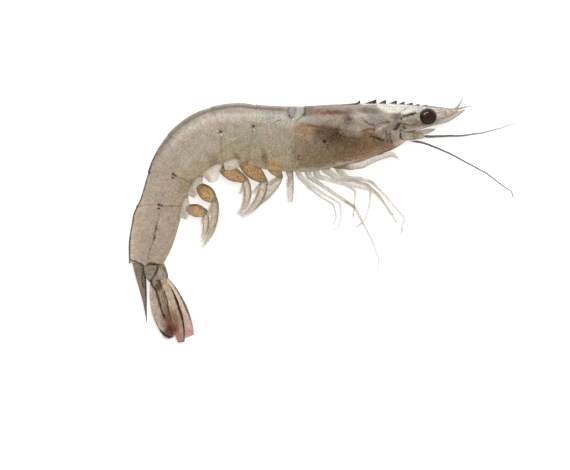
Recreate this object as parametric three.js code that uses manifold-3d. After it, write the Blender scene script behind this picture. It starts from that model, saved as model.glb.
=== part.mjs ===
// A whole raw shrimp, head and shell on, lying on its left side with its right side up.
// Millimetres, +Z up. The animal's side view is the XY plane: head towards +X, back towards +Y,
// and its own left and right are -Z and +Z. The origin is under the middle of its outline.

import * as THREE from "three";
import { mergeVertices } from "three/addons/utils/BufferGeometryUtils.js";
import Module from "manifold-3d";

const wasm = await Module();
wasm.setup();

// Driving sizes. A place is [x, y] on the side view, and out is how far a piece stands out sideways
// from the body's middle. Girths are radii.
const GAP = 0.2; // clearance between neighbouring pieces
const LIP = 0.34; // how far each shell's rear edge stands proud of the next shell
const TRUNK_SIDES = 24;
const SHELL_RINGS = 6;
const HEAD_RINGS = 15;
const RIGHT = 1;
const LEFT = -1;

// The body axis runs from the head (negative) through 0, the joint of head and abdomen, to the tail.
// The head is straight. Each abdominal ring is an arc: its length and the headings at its two ends,
// in degrees anticlockwise from +X, so 180 points from head to tail.
const HEAD_LENGTH = 38.2;
const ABDOMEN = [
  { length: 16.3, from: 180, to: 172 },
  { length: 11.2, from: 172, to: 192 },
  { length: 11.7, from: 192, to: 219 },
  { length: 9.9, from: 219, to: 246 },
  { length: 10.7, from: 246, to: 251.5 },
  { length: 19.5, from: 251.5, to: 262 },
];

// Each shell's lower rear corners: how far its rear edge reaches back past the joint along the back
// and along the flank, and how far a thin flap hangs below the flank. The head shell comes first.
const SHELLS = [
  { back: 0, flank: 3.0, flap: 0 },
  { back: 1.0, flank: 1.6, flap: 1.1 },
  { back: 1.2, flank: 2.2, flap: 2.6 },
  { back: 1.6, flank: 3.2, flap: 3.8 },
  { back: 2.2, flank: 4.2, flap: 2.7 },
  { back: 2.8, flank: 1.8, flap: 2.5 },
  { back: 0.9, flank: -0.5, flap: 0 },
];

// The trunk's cross-section along the axis: its top and bottom, half its width, and the height of
// its middle above the table, which the widest parts lie on.
const TRUNK = [
  { at: -38.2, top: 7.6, bottom: 5.0, half: 1.0, lift: 8.7 },
  { at: -37.2, top: 8.8, bottom: 3.4, half: 2.4, lift: 8.7 },
  { at: -35.3, top: 9.9, bottom: 0.9, half: 3.8, lift: 8.7 },
  { at: -32.3, top: 10.6, bottom: -1.7, half: 4.9, lift: 8.7 },
  { at: -29, top: 10.9, bottom: -3.7, half: 5.9, lift: 8.7 },
  { at: -24, top: 11.1, bottom: -5.4, half: 7.0, lift: 8.7 },
  { at: -19, top: 11.25, bottom: -7.0, half: 7.9, lift: 8.7 },
  { at: -14, top: 11.3, bottom: -8.3, half: 8.5, lift: 8.7 },
  { at: -9, top: 11.2, bottom: -9.3, half: 8.8, lift: 8.7 },
  { at: -4, top: 10.9, bottom: -10.2, half: 8.7, lift: 8.65 },
  { at: 0, top: 10.7, bottom: -10.6, half: 8.3, lift: 8.4 },
  { at: 8, top: 10.6, bottom: -10.0, half: 8.1, lift: 8.2 },
  { at: 16.3, top: 10.1, bottom: -8.9, half: 7.9, lift: 8.05 },
  { at: 22, top: 10.45, bottom: -8.75, half: 7.9, lift: 8.05 },
  { at: 27.5, top: 10.3, bottom: -8.9, half: 7.8, lift: 7.95 },
  { at: 33, top: 10.2, bottom: -9.0, half: 7.6, lift: 7.75 },
  { at: 39.2, top: 9.35, bottom: -8.9, half: 7.2, lift: 7.35 },
  { at: 44, top: 8.6, bottom: -8.5, half: 6.8, lift: 6.95 },
  { at: 49.1, top: 7.8, bottom: -7.7, half: 6.4, lift: 6.55 },
  { at: 54.5, top: 7.25, bottom: -7.2, half: 5.9, lift: 6.05 },
  { at: 60.5, top: 6.85, bottom: -7.3, half: 5.4, lift: 5.6 },
  { at: 64, top: 7.7, bottom: -7.5, half: 5.2, lift: 5.4 },
  { at: 69, top: 7.35, bottom: -7.4, half: 4.9, lift: 5.15 },
  { at: 74, top: 6.9, bottom: -6.6, half: 4.4, lift: 4.85 },
  { at: 79.3, top: 5.75, bottom: -4.9, half: 3.8, lift: 4.6 },
];
const FLANK_TUCK = 0.24; // how far the flanks lean in at their lower edges, as a share of the half width
const FLANK_SHARE = 2 / 3; // how much of the way from mid height to the belly's middle is flank
const BELLY_HOLLOW = 2.0; // depth of the belly between the flanks

// Rostrum: a saw-edged crest along the top of the head, running out to a spike over the eyes. The
// teeth stand on a line that is level at first and then sinks towards the spike.
const ROSTRUM = {
  thick: 1.1,
  start: [6, 10.8],
  level: 11.65,
  sunk: 10.3,
  sinks: [26, 50],
  spike: [49.2, 9.95],
  underside: [[44, 9.0], [36, 8.5], [32, 8.2], [6, 8.2]],
  teeth: [
    { at: 15.0, long: 3.2, high: 1.25 },
    { at: 19.4, long: 4.2, high: 1.55 },
    { at: 24.2, long: 2.6, high: 1.3 },
    { at: 27.6, long: 2.7, high: 1.15 },
    { at: 30.8, long: 2.1, high: 0.9 },
    { at: 33.3, long: 2.3, high: 0.7 },
    { at: 36.1, long: 1.7, high: 0.5 },
    { at: 38.3, long: 2.0, high: 0.35 },
  ],
};

const EYE = { place: [40.7, 7.35], out: 4.6, radius: 2.75, tall: 0.88 };
const EYE_STALK = { root: [35.6, 6.9], out: 2.1, girths: [1.2, 1.75] };

// The small feelers: a flattened stem of three podomeres with two short whips at its tip. Arcs are
// [length, heading at the start, heading at the end], and sizes run from root to tip.
const SMALL_FEELER = {
  root: [35.4, 5.4],
  outs: [1.25, 1.1],
  arcs: [[6.6, 9, 14], [4.8, 17, 20], [4.1, 22, 23]],
  wides: [1.9, 0.75],
  thicks: [1.0, 0.55],
  whips: [[5.6, 46, 72], [6.4, 20, 6]],
  whipGirths: [0.36, 0.13],
};

// The scales: stiff blades beside the feelers, leaning outwards. The left one is bent down.
const FEELER_SCALES = {
  right: { root: [32.4, 2.2], arc: [21.6, 8, 32], wide: 2.7 },
  left: { root: [32.4, 1.4], arc: [13.2, 10, 18], wide: 2.1 },
};
const SCALE_OUTS = [4.4, 3.9];
const SCALE_THICKS = [0.5, 0.28];
const SCALE_FLAT = [-0.3, 0.9, 0.42]; // the way across the right scale's thickness

// The long feelers, each on a stout stem. fall is how far the feeler sinks towards the table.
const FEELER_STEM = { root: [31.6, 1.2], arcs: [[4.2, -6, -4], [3.3, 0, 4]], girths: [1.75, 0.66] };
const FEELERS = {
  right: {
    root: [35.0, -0.9], out: 3.9, fall: 11.6, girths: [0.42, 0.16],
    arcs: [
      [3.6, -1, -8], [9.6, -20, -23], [13.6, -28, -26], [7.7, -38, -33], [3.1, -32, -34], [2.2, -66, -82],
    ],
  },
  left: {
    root: [38.8, 0.9], out: 3.6, fall: 4.5, girths: [0.5, 0.16],
    arcs: [[15.2, 0, 5], [16.6, 5, 24]],
  },
};

// Walking legs, front to rear. podomeres are [length, heading], and outs are those of the leg's hip,
// knee and tip.
const LEGS = {
  right: [
    { hip: [10.7, -8.0], outs: [2.4, 3.0, 1.8], girth: 0.72,
      podomeres: [[2.7, -72], [5.2, -40], [5.5, -17], [5.1, -45], [4.7, -51], [3.6, -56]] },
    { hip: [6.2, -7.9], outs: [3.4, 4.8, 4.0], girth: 0.82,
      podomeres: [
        [2.4, -73], [4.4, -34], [7.3, -4], [4.1, -14], [6.8, -45], [6.4, -50], [3.0, -46], [6.6, -106],
      ] },
    { hip: [3.2, -8.6], outs: [4.6, 6.4, 5.6], girth: 0.78,
      podomeres: [[4.0, -75], [8.9, -16], [9.0, -12.5], [5.3, -95], [5.2, -107], [4.0, -145]] },
    { hip: [0.6, -8.8], outs: [4.8, 4.4, 3.4], girth: 0.68,
      podomeres: [[3.9, -75], [7.6, -34], [5.5, -33], [4.8, -34], [5.6, -62], [3.6, -144]] },
    { hip: [-2.6, -9.0], outs: [4.6, 6.6, 4.6], girth: 0.62,
      podomeres: [[3.4, -74], [5.6, -40], [4.0, -35], [6.4, -29], [4.1, -85], [3.7, -100], [3.6, -146]] },
  ],
  left: [
    { hip: [10.2, -8.0], outs: [2.4, 3.4, 4.8], girth: 0.7,
      podomeres: [[2.6, -74], [5.4, -36], [5.4, -14], [5.2, -40], [4.9, -57], [3.4, -66]] },
    { hip: [5.8, -8.0], outs: [3.4, 5.2, 6.4], girth: 0.78,
      podomeres: [[2.5, -74], [4.6, -36], [7.0, -8], [4.4, -20], [6.6, -47], [6.0, -56], [3.0, -62]] },
    { hip: [2.8, -8.6], outs: [4.6, 6.3, 7.4], girth: 0.74,
      podomeres: [[3.8, -76], [8.8, -14], [5.2, -30], [5.6, -94], [3.6, -100]] },
    { hip: [0.2, -8.8], outs: [4.8, 5.7, 6.6], girth: 0.66,
      podomeres: [
        [3.8, -76], [8.2, -33], [5.6, -34], [4.9, -35], [5.4, -62], [6.8, -62], [6.4, -70], [4.8, -94],
      ] },
    { hip: [-3.0, -9.0], outs: [4.6, 6.5, 7.4], girth: 0.6,
      podomeres: [[3.4, -76], [5.4, -46], [4.6, -38], [5.0, -31], [4.0, -76], [3.9, -108]] },
  ],
};

const LIMB_TIP = 0.22; // girth of every leg at its tip
const LEG_TAPER = 1.1; // how late a walking leg thins: 1 is evenly, more is later

// The third pair of jaw legs, held forward under the mouth.
const JAW_LEG = {
  hip: [9.0, -6.6],
  outs: { right: [4.4, 4.9, 3.6], left: [4.4, 5.1, 4.6] },
  girth: 1.2,
  taper: 4,
  podomeres: [[2.2, -60], [5.0, -6], [3.9, 8], [4.9, 26], [5.8, 14], [3.4, -42]],
};

// Swimmerets, one pair to a ring. Each hangs from a fleshy stem, [length, heading], and ends in a
// long tapering blade, [length, heading at its root, heading at its tip], with a shorter one beside it.
const SWIMMERETS = {
  right: [
    { root: [-12.6, -6.6], out: 3.6, stem: [7.4, -52], plump: 2.0, blade: [21.5, -118, -166], broad: 1.2 },
    { root: [-21.6, -6.9], out: 4.9, stem: [10.8, -40], plump: 2.6, blade: [14.8, -92, -152], broad: 1.2 },
    { root: [-28.2, -9.7], out: 3.4, stem: [9.4, -24], plump: 2.3, blade: [12.2, -66, -134], broad: 1.1 },
    { root: [-35.2, -15.5], out: 4.4, stem: [7.2, -44], plump: 2.3, blade: [16.2, -80, -128], broad: 1.2 },
    { root: [-39.3, -22.9], out: 3.0, stem: [6.8, -16], plump: 1.9, blade: [9.6, -80, -118], broad: 1.0 },
  ],
  left: [
    { root: [-5.6, -8.6], out: 3.6, stem: [4.0, -74], plump: 1.2, blade: [8.4, -88, -92], broad: 0.9 },
    { root: [-20.8, -7.0], out: 4.5, stem: [9.8, -45], plump: 2.2, blade: [14.0, -94, -148], broad: 1.1 },
    { root: [-27.4, -9.5], out: 3.5, stem: [8.6, -30], plump: 2.0, blade: [11.8, -70, -132], broad: 1.0 },
    { root: [-34.4, -15.1], out: 4.0, stem: [6.8, -46], plump: 1.9, blade: [15.2, -84, -124], broad: 1.1 },
    { root: [-38.8, -22.3], out: 3.0, stem: [6.2, -14], plump: 1.6, blade: [9.0, -84, -114], broad: 0.9 },
  ],
};

// Tail fan. Roots are on the side view, headings are those at a piece's root and tip, and sizes are
// half widths and half thicknesses. Each blade's heights above the table are at its root and tip,
// and tilt is how far it leans away from lying flat.
const TELSON = { root: [-55.7, -39.4], length: 21.3, from: 283, to: 275, wide: 2.0, thick: 2.9 };
const FAN_STEM = { root: [-51.1, -41.0], length: 7.2, heading: 290, wide: 2.6, thick: 1.2, out: 1.9 };
const LEFT_STEM_SHIFT = [1.6, 0.5];
const FAN_BLADES = {
  outer_right: {
    root: [-47.1, -46.4], length: 21.8, from: 297, to: 276, wide: 2.4, heights: [7.2, 6.2], tilt: 32,
  },
  inner_right: {
    root: [-49.9, -46.9], length: 19.7, from: 281, to: 292, wide: 3.15, heights: [5.9, 4.7], tilt: 8,
  },
  inner_left: {
    root: [-48.6, -46.4], length: 19.4, from: 288, to: 291, wide: 3.0, heights: [3.6, 3.0], tilt: -8,
  },
  outer_left: {
    root: [-47.0, -45.6], length: 21.6, from: 297, to: 291, wide: 2.9, heights: [2.4, 1.4], tilt: -8,
  },
};
const BLADE_THICK = 0.42;

const COLOURS = {
  shell: 0xb0a490,
  head: 0x8f7a62,
  tail: 0x9c8570,
  fan: 0x9a7d68,
  leg: 0xd2c9b8,
  swimmeret: 0xb8925f,
  feeler: 0x9d968c,
  eye: 0x241813,
};
const material = Object.fromEntries(
  Object.entries(COLOURS).map(([name, color]) => [
    name,
    new THREE.MeshStandardMaterial({ name, color, roughness: name === "eye" ? 0.15 : 0.4, metalness: 0 }),
  ]),
);

// Small tools

const radians = THREE.MathUtils.degToRad;
const mix = THREE.MathUtils.lerp;
const sideName = (side) => (side === RIGHT ? "right" : "left");

// A smooth curve through rows of named values: the value of one field at a place along the axis.
function valueAt(rows, field, at) {
  const last = rows.length - 1;
  const next = rows.findIndex((row) => row.at > at);
  const k = next < 0 ? last - 1 : Math.max(next - 1, 0);
  const slope = (n) => {
    const before = rows[Math.max(n - 1, 0)];
    const after = rows[Math.min(n + 1, last)];
    return (after[field] - before[field]) / (after.at - before.at);
  };
  const span = rows[k + 1].at - rows[k].at;
  const t = THREE.MathUtils.clamp((at - rows[k].at) / span, 0, 1);
  const t2 = t * t;
  const t3 = t2 * t;
  return (
    (2 * t3 - 3 * t2 + 1) * rows[k][field] +
    (t3 - 2 * t2 + t) * span * slope(k) +
    (3 * t2 - 2 * t3) * rows[k + 1][field] +
    (t3 - t2) * span * slope(k + 1)
  );
}

// Where a path of one arc has got to after a distance, from a start and the headings at its ends.
function arcPoint([x, y], length, from, to, distance) {
  const turn = radians(to - from);
  const start = radians(from);
  if (Math.abs(turn) < 1e-6) {
    return [x + distance * Math.cos(start), y + distance * Math.sin(start)];
  }
  const radius = length / turn;
  const now = start + (turn * distance) / length;
  return [x + radius * (Math.sin(now) - Math.sin(start)), y - radius * (Math.cos(now) - Math.cos(start))];
}

// Points along a chain of arcs in the side view, with a height for each share of the way.
function chain(start, arcs, steps, height) {
  const total = arcs.reduce((sum, [length]) => sum + length, 0);
  const points = [];
  let from = start;
  let gone = 0;
  arcs.forEach(([length, headingFrom, headingTo = headingFrom], n) => {
    const count = Math.max(2, Math.round((steps * length) / total));
    for (let i = n ? 1 : 0; i <= count; i++) {
      const [x, y] = arcPoint(from, length, headingFrom, headingTo, (length * i) / count);
      points.push(new THREE.Vector3(x, y, height((gone + (length * i) / count) / total)));
    }
    from = arcPoint(from, length, headingFrom, headingTo, length);
    gone += length;
  });
  return points;
}

// Joins rings of points into one closed surface. Each ring turns anticlockwise about the way the
// rings follow each other, and centres are the middles of the first and the last ring.
function closedSurface(rings, centres) {
  const sides = rings[0].length;
  const points = [...rings.flat(), ...centres];
  const faces = [];
  const first = rings.length * sides;
  const tail = (rings.length - 1) * sides;
  for (let k = 0; k < sides; k++) {
    const next = (k + 1) % sides;
    for (let r = 0; r + 1 < rings.length; r++) {
      const [a, b] = [r * sides + k, r * sides + next];
      faces.push(a, b, b + sides, a, b + sides, a + sides);
    }
    faces.push(first, next, k, first + 1, tail + k, tail + next);
  }
  const geometry = new THREE.BufferGeometry().setFromPoints(points);
  geometry.setIndex(faces);
  return geometry;
}

// A rod or blade swept along points. wide and thick give its half sizes at each share of the way,
// and flat is the direction across its thickness.
function sweep(points, { wide, thick, flat = new THREE.Vector3(0, 0, 1), sides = 8 }) {
  const last = points.length - 1;
  const lengths = [0];
  points.slice(1).forEach((p, i) => lengths.push(lengths[i] + p.distanceTo(points[i])));
  const rings = points.map((p, i) => {
    const t = lengths[i] / lengths[last];
    const way = points[Math.min(i + 1, last)].clone().sub(points[Math.max(i - 1, 0)]).normalize();
    const across = new THREE.Vector3().crossVectors(flat, way).normalize();
    const over = new THREE.Vector3().crossVectors(way, across);
    return Array.from({ length: sides }, (_, k) => {
      const angle = (2 * Math.PI * k) / sides;
      return p
        .clone()
        .addScaledVector(across, wide(t) * Math.cos(angle))
        .addScaledVector(over, thick(t) * Math.sin(angle));
    });
  });
  return closedSurface(rings, [points[0], points[last]]);
}

// Solids, for cutting and joining

function solidOf(geometry) {
  const bare = geometry.index ? geometry.clone() : geometry;
  bare.deleteAttribute("normal");
  bare.deleteAttribute("uv");
  const merged = mergeVertices(bare, 1e-4);
  return new wasm.Manifold(
    new wasm.Mesh({
      numProp: 3,
      vertProperties: merged.attributes.position.array,
      triVerts: new Uint32Array(merged.index.array),
    }),
  );
}

function geometryOf(solid) {
  const mesh = solid.getMesh();
  const geometry = new THREE.BufferGeometry();
  geometry.setAttribute("position", new THREE.BufferAttribute(mesh.vertProperties, 3));
  geometry.setIndex(new THREE.BufferAttribute(mesh.triVerts, 1));
  return geometry;
}

// The same solid with its skin moved out by the clearance.
function grown(solid) {
  const geometry = geometryOf(solid);
  geometry.computeVertexNormals();
  const place = geometry.attributes.position;
  const normal = geometry.attributes.normal;
  for (let i = 0; i < place.count; i++) {
    place.setXYZ(
      i,
      place.getX(i) + GAP * normal.getX(i),
      place.getY(i) + GAP * normal.getY(i),
      place.getZ(i) + GAP * normal.getZ(i),
    );
  }
  return solidOf(geometry);
}

const largest = (solid) =>
  solid.decompose().reduce((best, part) => (part.volume() > best.volume() ? part : best));

// Each piece gives way to those made before it, with a clearance, so that none overlap.
const earlier = [];
function piece(group, name, colour, solid) {
  const cut = largest(earlier.reduce((left, other) => left.subtract(other), solid));
  earlier.push(grown(cut));
  const geometry = geometryOf(cut);
  geometry.computeVertexNormals();
  const mesh = new THREE.Mesh(geometry, material[colour]);
  mesh.name = name;
  group.add(mesh);
}

// Trunk: the head shell and the six rings of the abdomen

// The axis at a distance from the joint of head and abdomen, and its heading there.
function axisAt(at) {
  if (at <= 0) {
    return { x: -at, y: 0, heading: ABDOMEN[0].from };
  }
  let from = [0, 0];
  let left = at;
  for (const [n, ring] of ABDOMEN.entries()) {
    if (left <= ring.length || n === ABDOMEN.length - 1) {
      const [x, y] = arcPoint(from, ring.length, ring.from, ring.to, left);
      return { x, y, heading: mix(ring.from, ring.to, left / ring.length) };
    }
    from = arcPoint(from, ring.length, ring.from, ring.to, ring.length);
    left -= ring.length;
  }
}

// Joints along the axis: the nose, then the rear end of the head and of each ring.
const JOINTS = ABDOMEN.reduce((all, { length }) => [...all, all.at(-1) + length], [-HEAD_LENGTH, 0]);

// One point of the trunk's skin. turn goes once round from the back, over the left flank and belly.
// proud lifts the whole skin, and flap lowers the flank's edge.
function trunkPoint(at, turn, proud, flap) {
  const axis = axisAt(at);
  const [top, bottom, halfWidth, lift] = ["top", "bottom", "half", "lift"].map((f) => valueAt(TRUNK, f, at));
  const middle = (top + bottom) / 2;
  const tall = (top - bottom) / 2 + proud;
  const half = halfWidth + proud;
  const level = Math.cos(turn);
  let up;
  let out;
  if (level >= 0) {
    up = tall * level ** 0.93;
    out = half * Math.abs(Math.sin(turn)) ** 0.93;
  } else {
    const share = 1 - Math.abs(Math.PI - turn) / (Math.PI / 2);
    const flank = Math.min(share / FLANK_SHARE, 1);
    const belly = Math.max((share - FLANK_SHARE) / (1 - FLANK_SHARE), 0);
    const hollow = BELLY_HOLLOW * Math.min(1, half / 7);
    up = -tall * Math.sin((flank * Math.PI) / 2) ** 1.15;
    up += hollow * (1 - (1 - belly) ** 2);
    up -= flap * THREE.MathUtils.smoothstep(flank, 0.6, 1) * (1 - Math.min(1, belly / 0.4));
    out = half * (1 - FLANK_TUCK * flank ** 2) * (1 - belly);
  }
  const away = radians(axis.heading - 90);
  const rise = middle + up;
  const across = turn > Math.PI ? out : -out;
  return new THREE.Vector3(
    axis.x + rise * Math.cos(away),
    axis.y + rise * Math.sin(away),
    Math.max(lift + across, 0),
  );
}

// How far back shell n's rear edge reaches at a turn round the body. The head shell's steps back
// below the top of the flank, and the others' reach furthest at the flank's lower corner.
function edgeReach(n, turn) {
  const { back, flank } = SHELLS[n];
  const level = Math.cos(turn);
  const share = Math.max(0, 1 - Math.abs(Math.PI - turn) / (Math.PI / 2));
  if (n === 0) {
    const step = 1 - THREE.MathUtils.smoothstep(level, 0.4, 0.68);
    return mix(back, flank, step) * (1 - 0.9 * THREE.MathUtils.smoothstep(share, 0.4, 0.9));
  }
  return level >= 0 ? back * level ** 2 : flank * Math.sin(Math.PI * share ** 1.6);
}

// One shell, from joint n to joint n + 1. Its front tucks under the shell before it, and its rear
// edge stands proud of the one behind.
function shell(n) {
  const isHead = n === 0;
  const front = (turn) => (isHead ? JOINTS[0] : JOINTS[n] + GAP + edgeReach(n - 1, turn));
  const rear = (turn) => JOINTS[n + 1] + edgeReach(n, turn);
  const count = isHead ? HEAD_RINGS : SHELL_RINGS;
  const rings = [];
  for (let r = 0; r <= count; r++) {
    const t = isHead ? (r / count) ** 1.25 : r / count;
    const proud = LIP * THREE.MathUtils.smoothstep(t, 0.35, 1);
    const flap = SHELLS[n].flap * Math.sin(Math.PI * 0.74 * t);
    rings.push(
      Array.from({ length: TRUNK_SIDES }, (_, k) => {
        const turn = (2 * Math.PI * k) / TRUNK_SIDES;
        return trunkPoint(mix(front(turn), rear(turn), t), turn, proud, flap);
      }),
    );
  }
  const heart = (at) => {
    const axis = axisAt(at);
    const middle = (valueAt(TRUNK, "top", at) + valueAt(TRUNK, "bottom", at)) / 2;
    const away = radians(axis.heading - 90);
    return new THREE.Vector3(
      axis.x + middle * Math.cos(away),
      axis.y + middle * Math.sin(away),
      valueAt(TRUNK, "lift", at),
    );
  };
  return closedSurface(rings, [heart(isHead ? JOINTS[0] : JOINTS[n] + GAP), heart(JOINTS[n + 1])]);
}

// The crest and its forward-pointing teeth, as a flat plate on the body's middle plane.
function rostrum() {
  const outline = new THREE.Shape();
  outline.moveTo(...ROSTRUM.start);
  for (const { at, long, high } of ROSTRUM.teeth) {
    const seat = mix(ROSTRUM.level, ROSTRUM.sunk, THREE.MathUtils.smoothstep(at, ...ROSTRUM.sinks));
    outline.lineTo(at, seat);
    outline.lineTo(at + 0.7 * long, seat + 0.55 * high);
    outline.lineTo(at + long, seat + high);
    outline.lineTo(at + 0.93 * long, seat + 0.1);
  }
  outline.lineTo(...ROSTRUM.spike);
  ROSTRUM.underside.forEach(([x, y]) => outline.lineTo(x, y));
  outline.closePath();
  const plate = new THREE.ExtrudeGeometry(outline, { depth: ROSTRUM.thick, bevelEnabled: false });
  return plate.translate(0, 0, TRUNK[0].lift - ROSTRUM.thick / 2);
}

function addTrunk(group) {
  piece(group, "head_shell", "head", solidOf(shell(0)).add(solidOf(rostrum())));
  for (let n = 1; n <= ABDOMEN.length; n++) {
    piece(group, `abdomen_${n}`, n === ABDOMEN.length ? "tail" : "shell", solidOf(shell(n)));
  }
}

// Head: eyes on stalks, feelers and their scales

const HEAD_MIDDLE = TRUNK[0].lift;

function addEyes(group, side) {
  const eye = new THREE.Vector3(...EYE.place, HEAD_MIDDLE + side * EYE.out);
  const ball = new THREE.SphereGeometry(EYE.radius, 14, 9).rotateX(Math.PI / 2).scale(1, EYE.tall, 1);
  ball.translate(eye.x, eye.y, eye.z);
  piece(group, `eye_${sideName(side)}`, "eye", solidOf(ball));
  const root = new THREE.Vector3(...EYE_STALK.root, HEAD_MIDDLE + side * EYE_STALK.out);
  const points = [0, 0.25, 0.5, 0.75, 1].map((t) => root.clone().lerp(eye, t));
  const girth = (t) => mix(...EYE_STALK.girths, t);
  piece(group, `eye_stalk_${sideName(side)}`, "head", solidOf(sweep(points, { wide: girth, thick: girth })));
}

function addSmallFeelers(group, side) {
  const { root, outs, arcs, wides, thicks, whips, whipGirths } = SMALL_FEELER;
  const points = chain(root, arcs, 7, (t) => HEAD_MIDDLE + side * mix(...outs, t));
  const stem = sweep(points, { wide: (t) => mix(...wides, t ** 1.3), thick: (t) => mix(...thicks, t) });
  const start = points.at(-2);
  const girth = (t) => mix(...whipGirths, t);
  const solid = whips.reduce((joined, arc) => {
    const whip = chain([start.x, start.y], [arc], 5, (t) => start.z + side * 0.8 * t);
    return joined.add(solidOf(sweep(whip, { wide: girth, thick: girth, sides: 5 })));
  }, solidOf(stem));
  piece(group, `small_feeler_${sideName(side)}`, "head", solid);
}

function addFeelerScale(group, side) {
  const { root, arc, wide } = FEELER_SCALES[sideName(side)];
  const points = chain(root, [arc], 8, (t) => HEAD_MIDDLE + side * mix(...SCALE_OUTS, t));
  const [x, y, z] = SCALE_FLAT;
  const solid = sweep(points, {
    wide: (t) => wide * Math.sin(Math.PI * Math.min(0.98, 0.16 + 0.84 * t)) ** 0.6,
    thick: (t) => mix(...SCALE_THICKS, t),
    flat: new THREE.Vector3(x, y, side * z).normalize(),
  });
  piece(group, `feeler_scale_${sideName(side)}`, "leg", solidOf(solid));
}

function addFeeler(group, side) {
  const name = sideName(side);
  const { root, out, fall, girths, arcs } = FEELERS[name];
  const rootHeight = HEAD_MIDDLE + side * out;
  const stem = chain(FEELER_STEM.root, FEELER_STEM.arcs, 6, () => rootHeight);
  const stemGirth = (t) => mix(...FEELER_STEM.girths, t) * (1 + 0.08 * Math.cos(4 * Math.PI * t));
  piece(group, `feeler_stem_${name}`, "leg", solidOf(sweep(stem, { wide: stemGirth, thick: stemGirth })));
  const whip = chain(root, arcs, 18, (t) => rootHeight - fall * Math.sin((t * Math.PI) / 2) ** 1.1);
  const girth = (t) => mix(...girths, t ** 0.7);
  piece(group, `feeler_${name}`, "feeler", solidOf(sweep(whip, { wide: girth, thick: girth, sides: 5 })));
}

// Legs

// Height above the table of a limb that stands out sideways by those of its root, knee and tip.
function limbHeight(side, [root, knee, tip]) {
  return (t) => {
    const [a, b, u] = t < 0.5 ? [root, knee, t * 2] : [knee, tip, t * 2 - 1];
    return HEAD_MIDDLE + side * mix(a, b, THREE.MathUtils.smoothstep(u, 0, 1));
  };
}

// A jointed limb: stout at the hip, swollen a little at each joint, and thinning to its tip.
function limb({ hip, podomeres, girth, taper = LEG_TAPER, outs }, side) {
  const points = chain(hip, podomeres, 2 * podomeres.length, limbHeight(side, outs));
  const joints = [];
  podomeres.forEach(([length]) => joints.push((joints.at(-1) ?? 0) + length));
  const total = joints.at(-1);
  const bump = (distance, spread) => Math.exp(-((distance / spread) ** 2));
  const radius = (t) => {
    const swelling = Math.max(...joints.map((joint) => bump(t * total - joint, 1)));
    return mix(girth, LIMB_TIP, t ** taper) * (0.92 + 0.14 * swelling + 0.5 * bump(t, 0.07));
  };
  return solidOf(sweep(points, { wide: radius, thick: (t) => 0.85 * radius(t), sides: 6 }));
}

function addLegs(group, side) {
  LEGS[sideName(side)].forEach((leg, n) => {
    piece(group, `leg_${n + 1}_${sideName(side)}`, "leg", limb(leg, side));
  });
  const jaw = { ...JAW_LEG, outs: JAW_LEG.outs[sideName(side)] };
  piece(group, `jaw_leg_${sideName(side)}`, "leg", limb(jaw, side));
}

// Swimmerets

function swimmeret({ root, out, stem, plump, blade, broad }, middle, side) {
  const height = (t) => middle + side * out * (1 - 0.25 * t);
  const [stemLength] = stem;
  const [bladeLength, bladeFrom, bladeTo] = blade;
  const waist = stemLength / (stemLength + bladeLength);
  const stemWide = (u) => plump * (0.42 + 0.58 * Math.sin(Math.PI * Math.min(1, u)));
  const bladeWide = (u) => broad * Math.sin(Math.PI * Math.min(0.95, 0.36 + 0.6 * u)) ** 0.9;
  const wide = (t) => (t < waist ? stemWide(t / waist) : bladeWide((t - waist) / (1 - waist)));
  const thick = (t) => mix(0.6 * plump, 0.22, THREE.MathUtils.smoothstep(t, 0.6 * waist, 1.4 * waist));
  const outer = sweep(chain(root, [stem, blade], 12, height), { wide, thick, sides: 8 });
  const neck = chain(root, [stem], 2, height).at(-1);
  const innerArc = [0.42 * bladeLength, bladeFrom - 22, bladeTo - 8];
  const inner = sweep(chain([neck.x, neck.y], [innerArc], 5, () => neck.z - side * 0.4), {
    wide: (t) => 0.6 * broad * Math.sin(Math.PI * Math.min(0.94, 0.4 + 0.6 * t)),
    thick: (t) => mix(0.4, 0.2, t),
    sides: 6,
  });
  return solidOf(outer).add(solidOf(inner));
}

function addSwimmerets(group, side) {
  SWIMMERETS[sideName(side)].forEach((form, n) => {
    const middle = valueAt(TRUNK, "lift", (JOINTS[n + 1] + JOINTS[n + 2]) / 2);
    piece(group, `swimmeret_${n + 1}_${sideName(side)}`, "swimmeret", swimmeret(form, middle, side));
  });
}

// Tail fan

const TAIL_MIDDLE = TRUNK.at(-1).lift;

function addTelson(group) {
  const { root, length, from, to, wide, thick } = TELSON;
  const points = chain(root, [[length, from, to]], 9, () => TAIL_MIDDLE);
  const solid = sweep(points, {
    wide: (t) => wide * (1 - THREE.MathUtils.smoothstep(t, 0.1, 1.12)),
    thick: (t) => mix(thick, 0.3, t ** 0.85),
    sides: 10,
  });
  piece(group, "telson", "tail", solidOf(solid));
}

function addFanStem(group, side) {
  const { root, length, heading, wide, thick, out } = FAN_STEM;
  const shift = side === RIGHT ? [0, 0] : LEFT_STEM_SHIFT;
  const start = [root[0] + shift[0], root[1] + shift[1]];
  const points = chain(start, [[length, heading]], 5, () => TAIL_MIDDLE + side * out);
  const outline = (t) => wide * (0.75 + 0.25 * Math.sin(Math.PI * t));
  const solid = sweep(points, { wide: outline, thick: () => thick, sides: 10 });
  piece(group, `fan_stem_${sideName(side)}`, "tail", solidOf(solid));
}

function addFanBlade(group, name) {
  const { root, length, from, to, wide, heights, tilt } = FAN_BLADES[name];
  const points = chain(root, [[length, from, to]], 9, (t) => mix(...heights, t));
  const outline = (t) => wide * Math.sin(Math.PI * (0.08 + 0.78 * t)) ** 0.7;
  const flat = new THREE.Vector3(Math.sin(radians(tilt)), 0, Math.cos(radians(tilt)));
  const solid = sweep(points, { wide: outline, thick: (t) => mix(BLADE_THICK, 0.28, t), flat, sides: 10 });
  piece(group, `fan_${name}`, "fan", solidOf(solid));
}

// The whole animal

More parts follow.
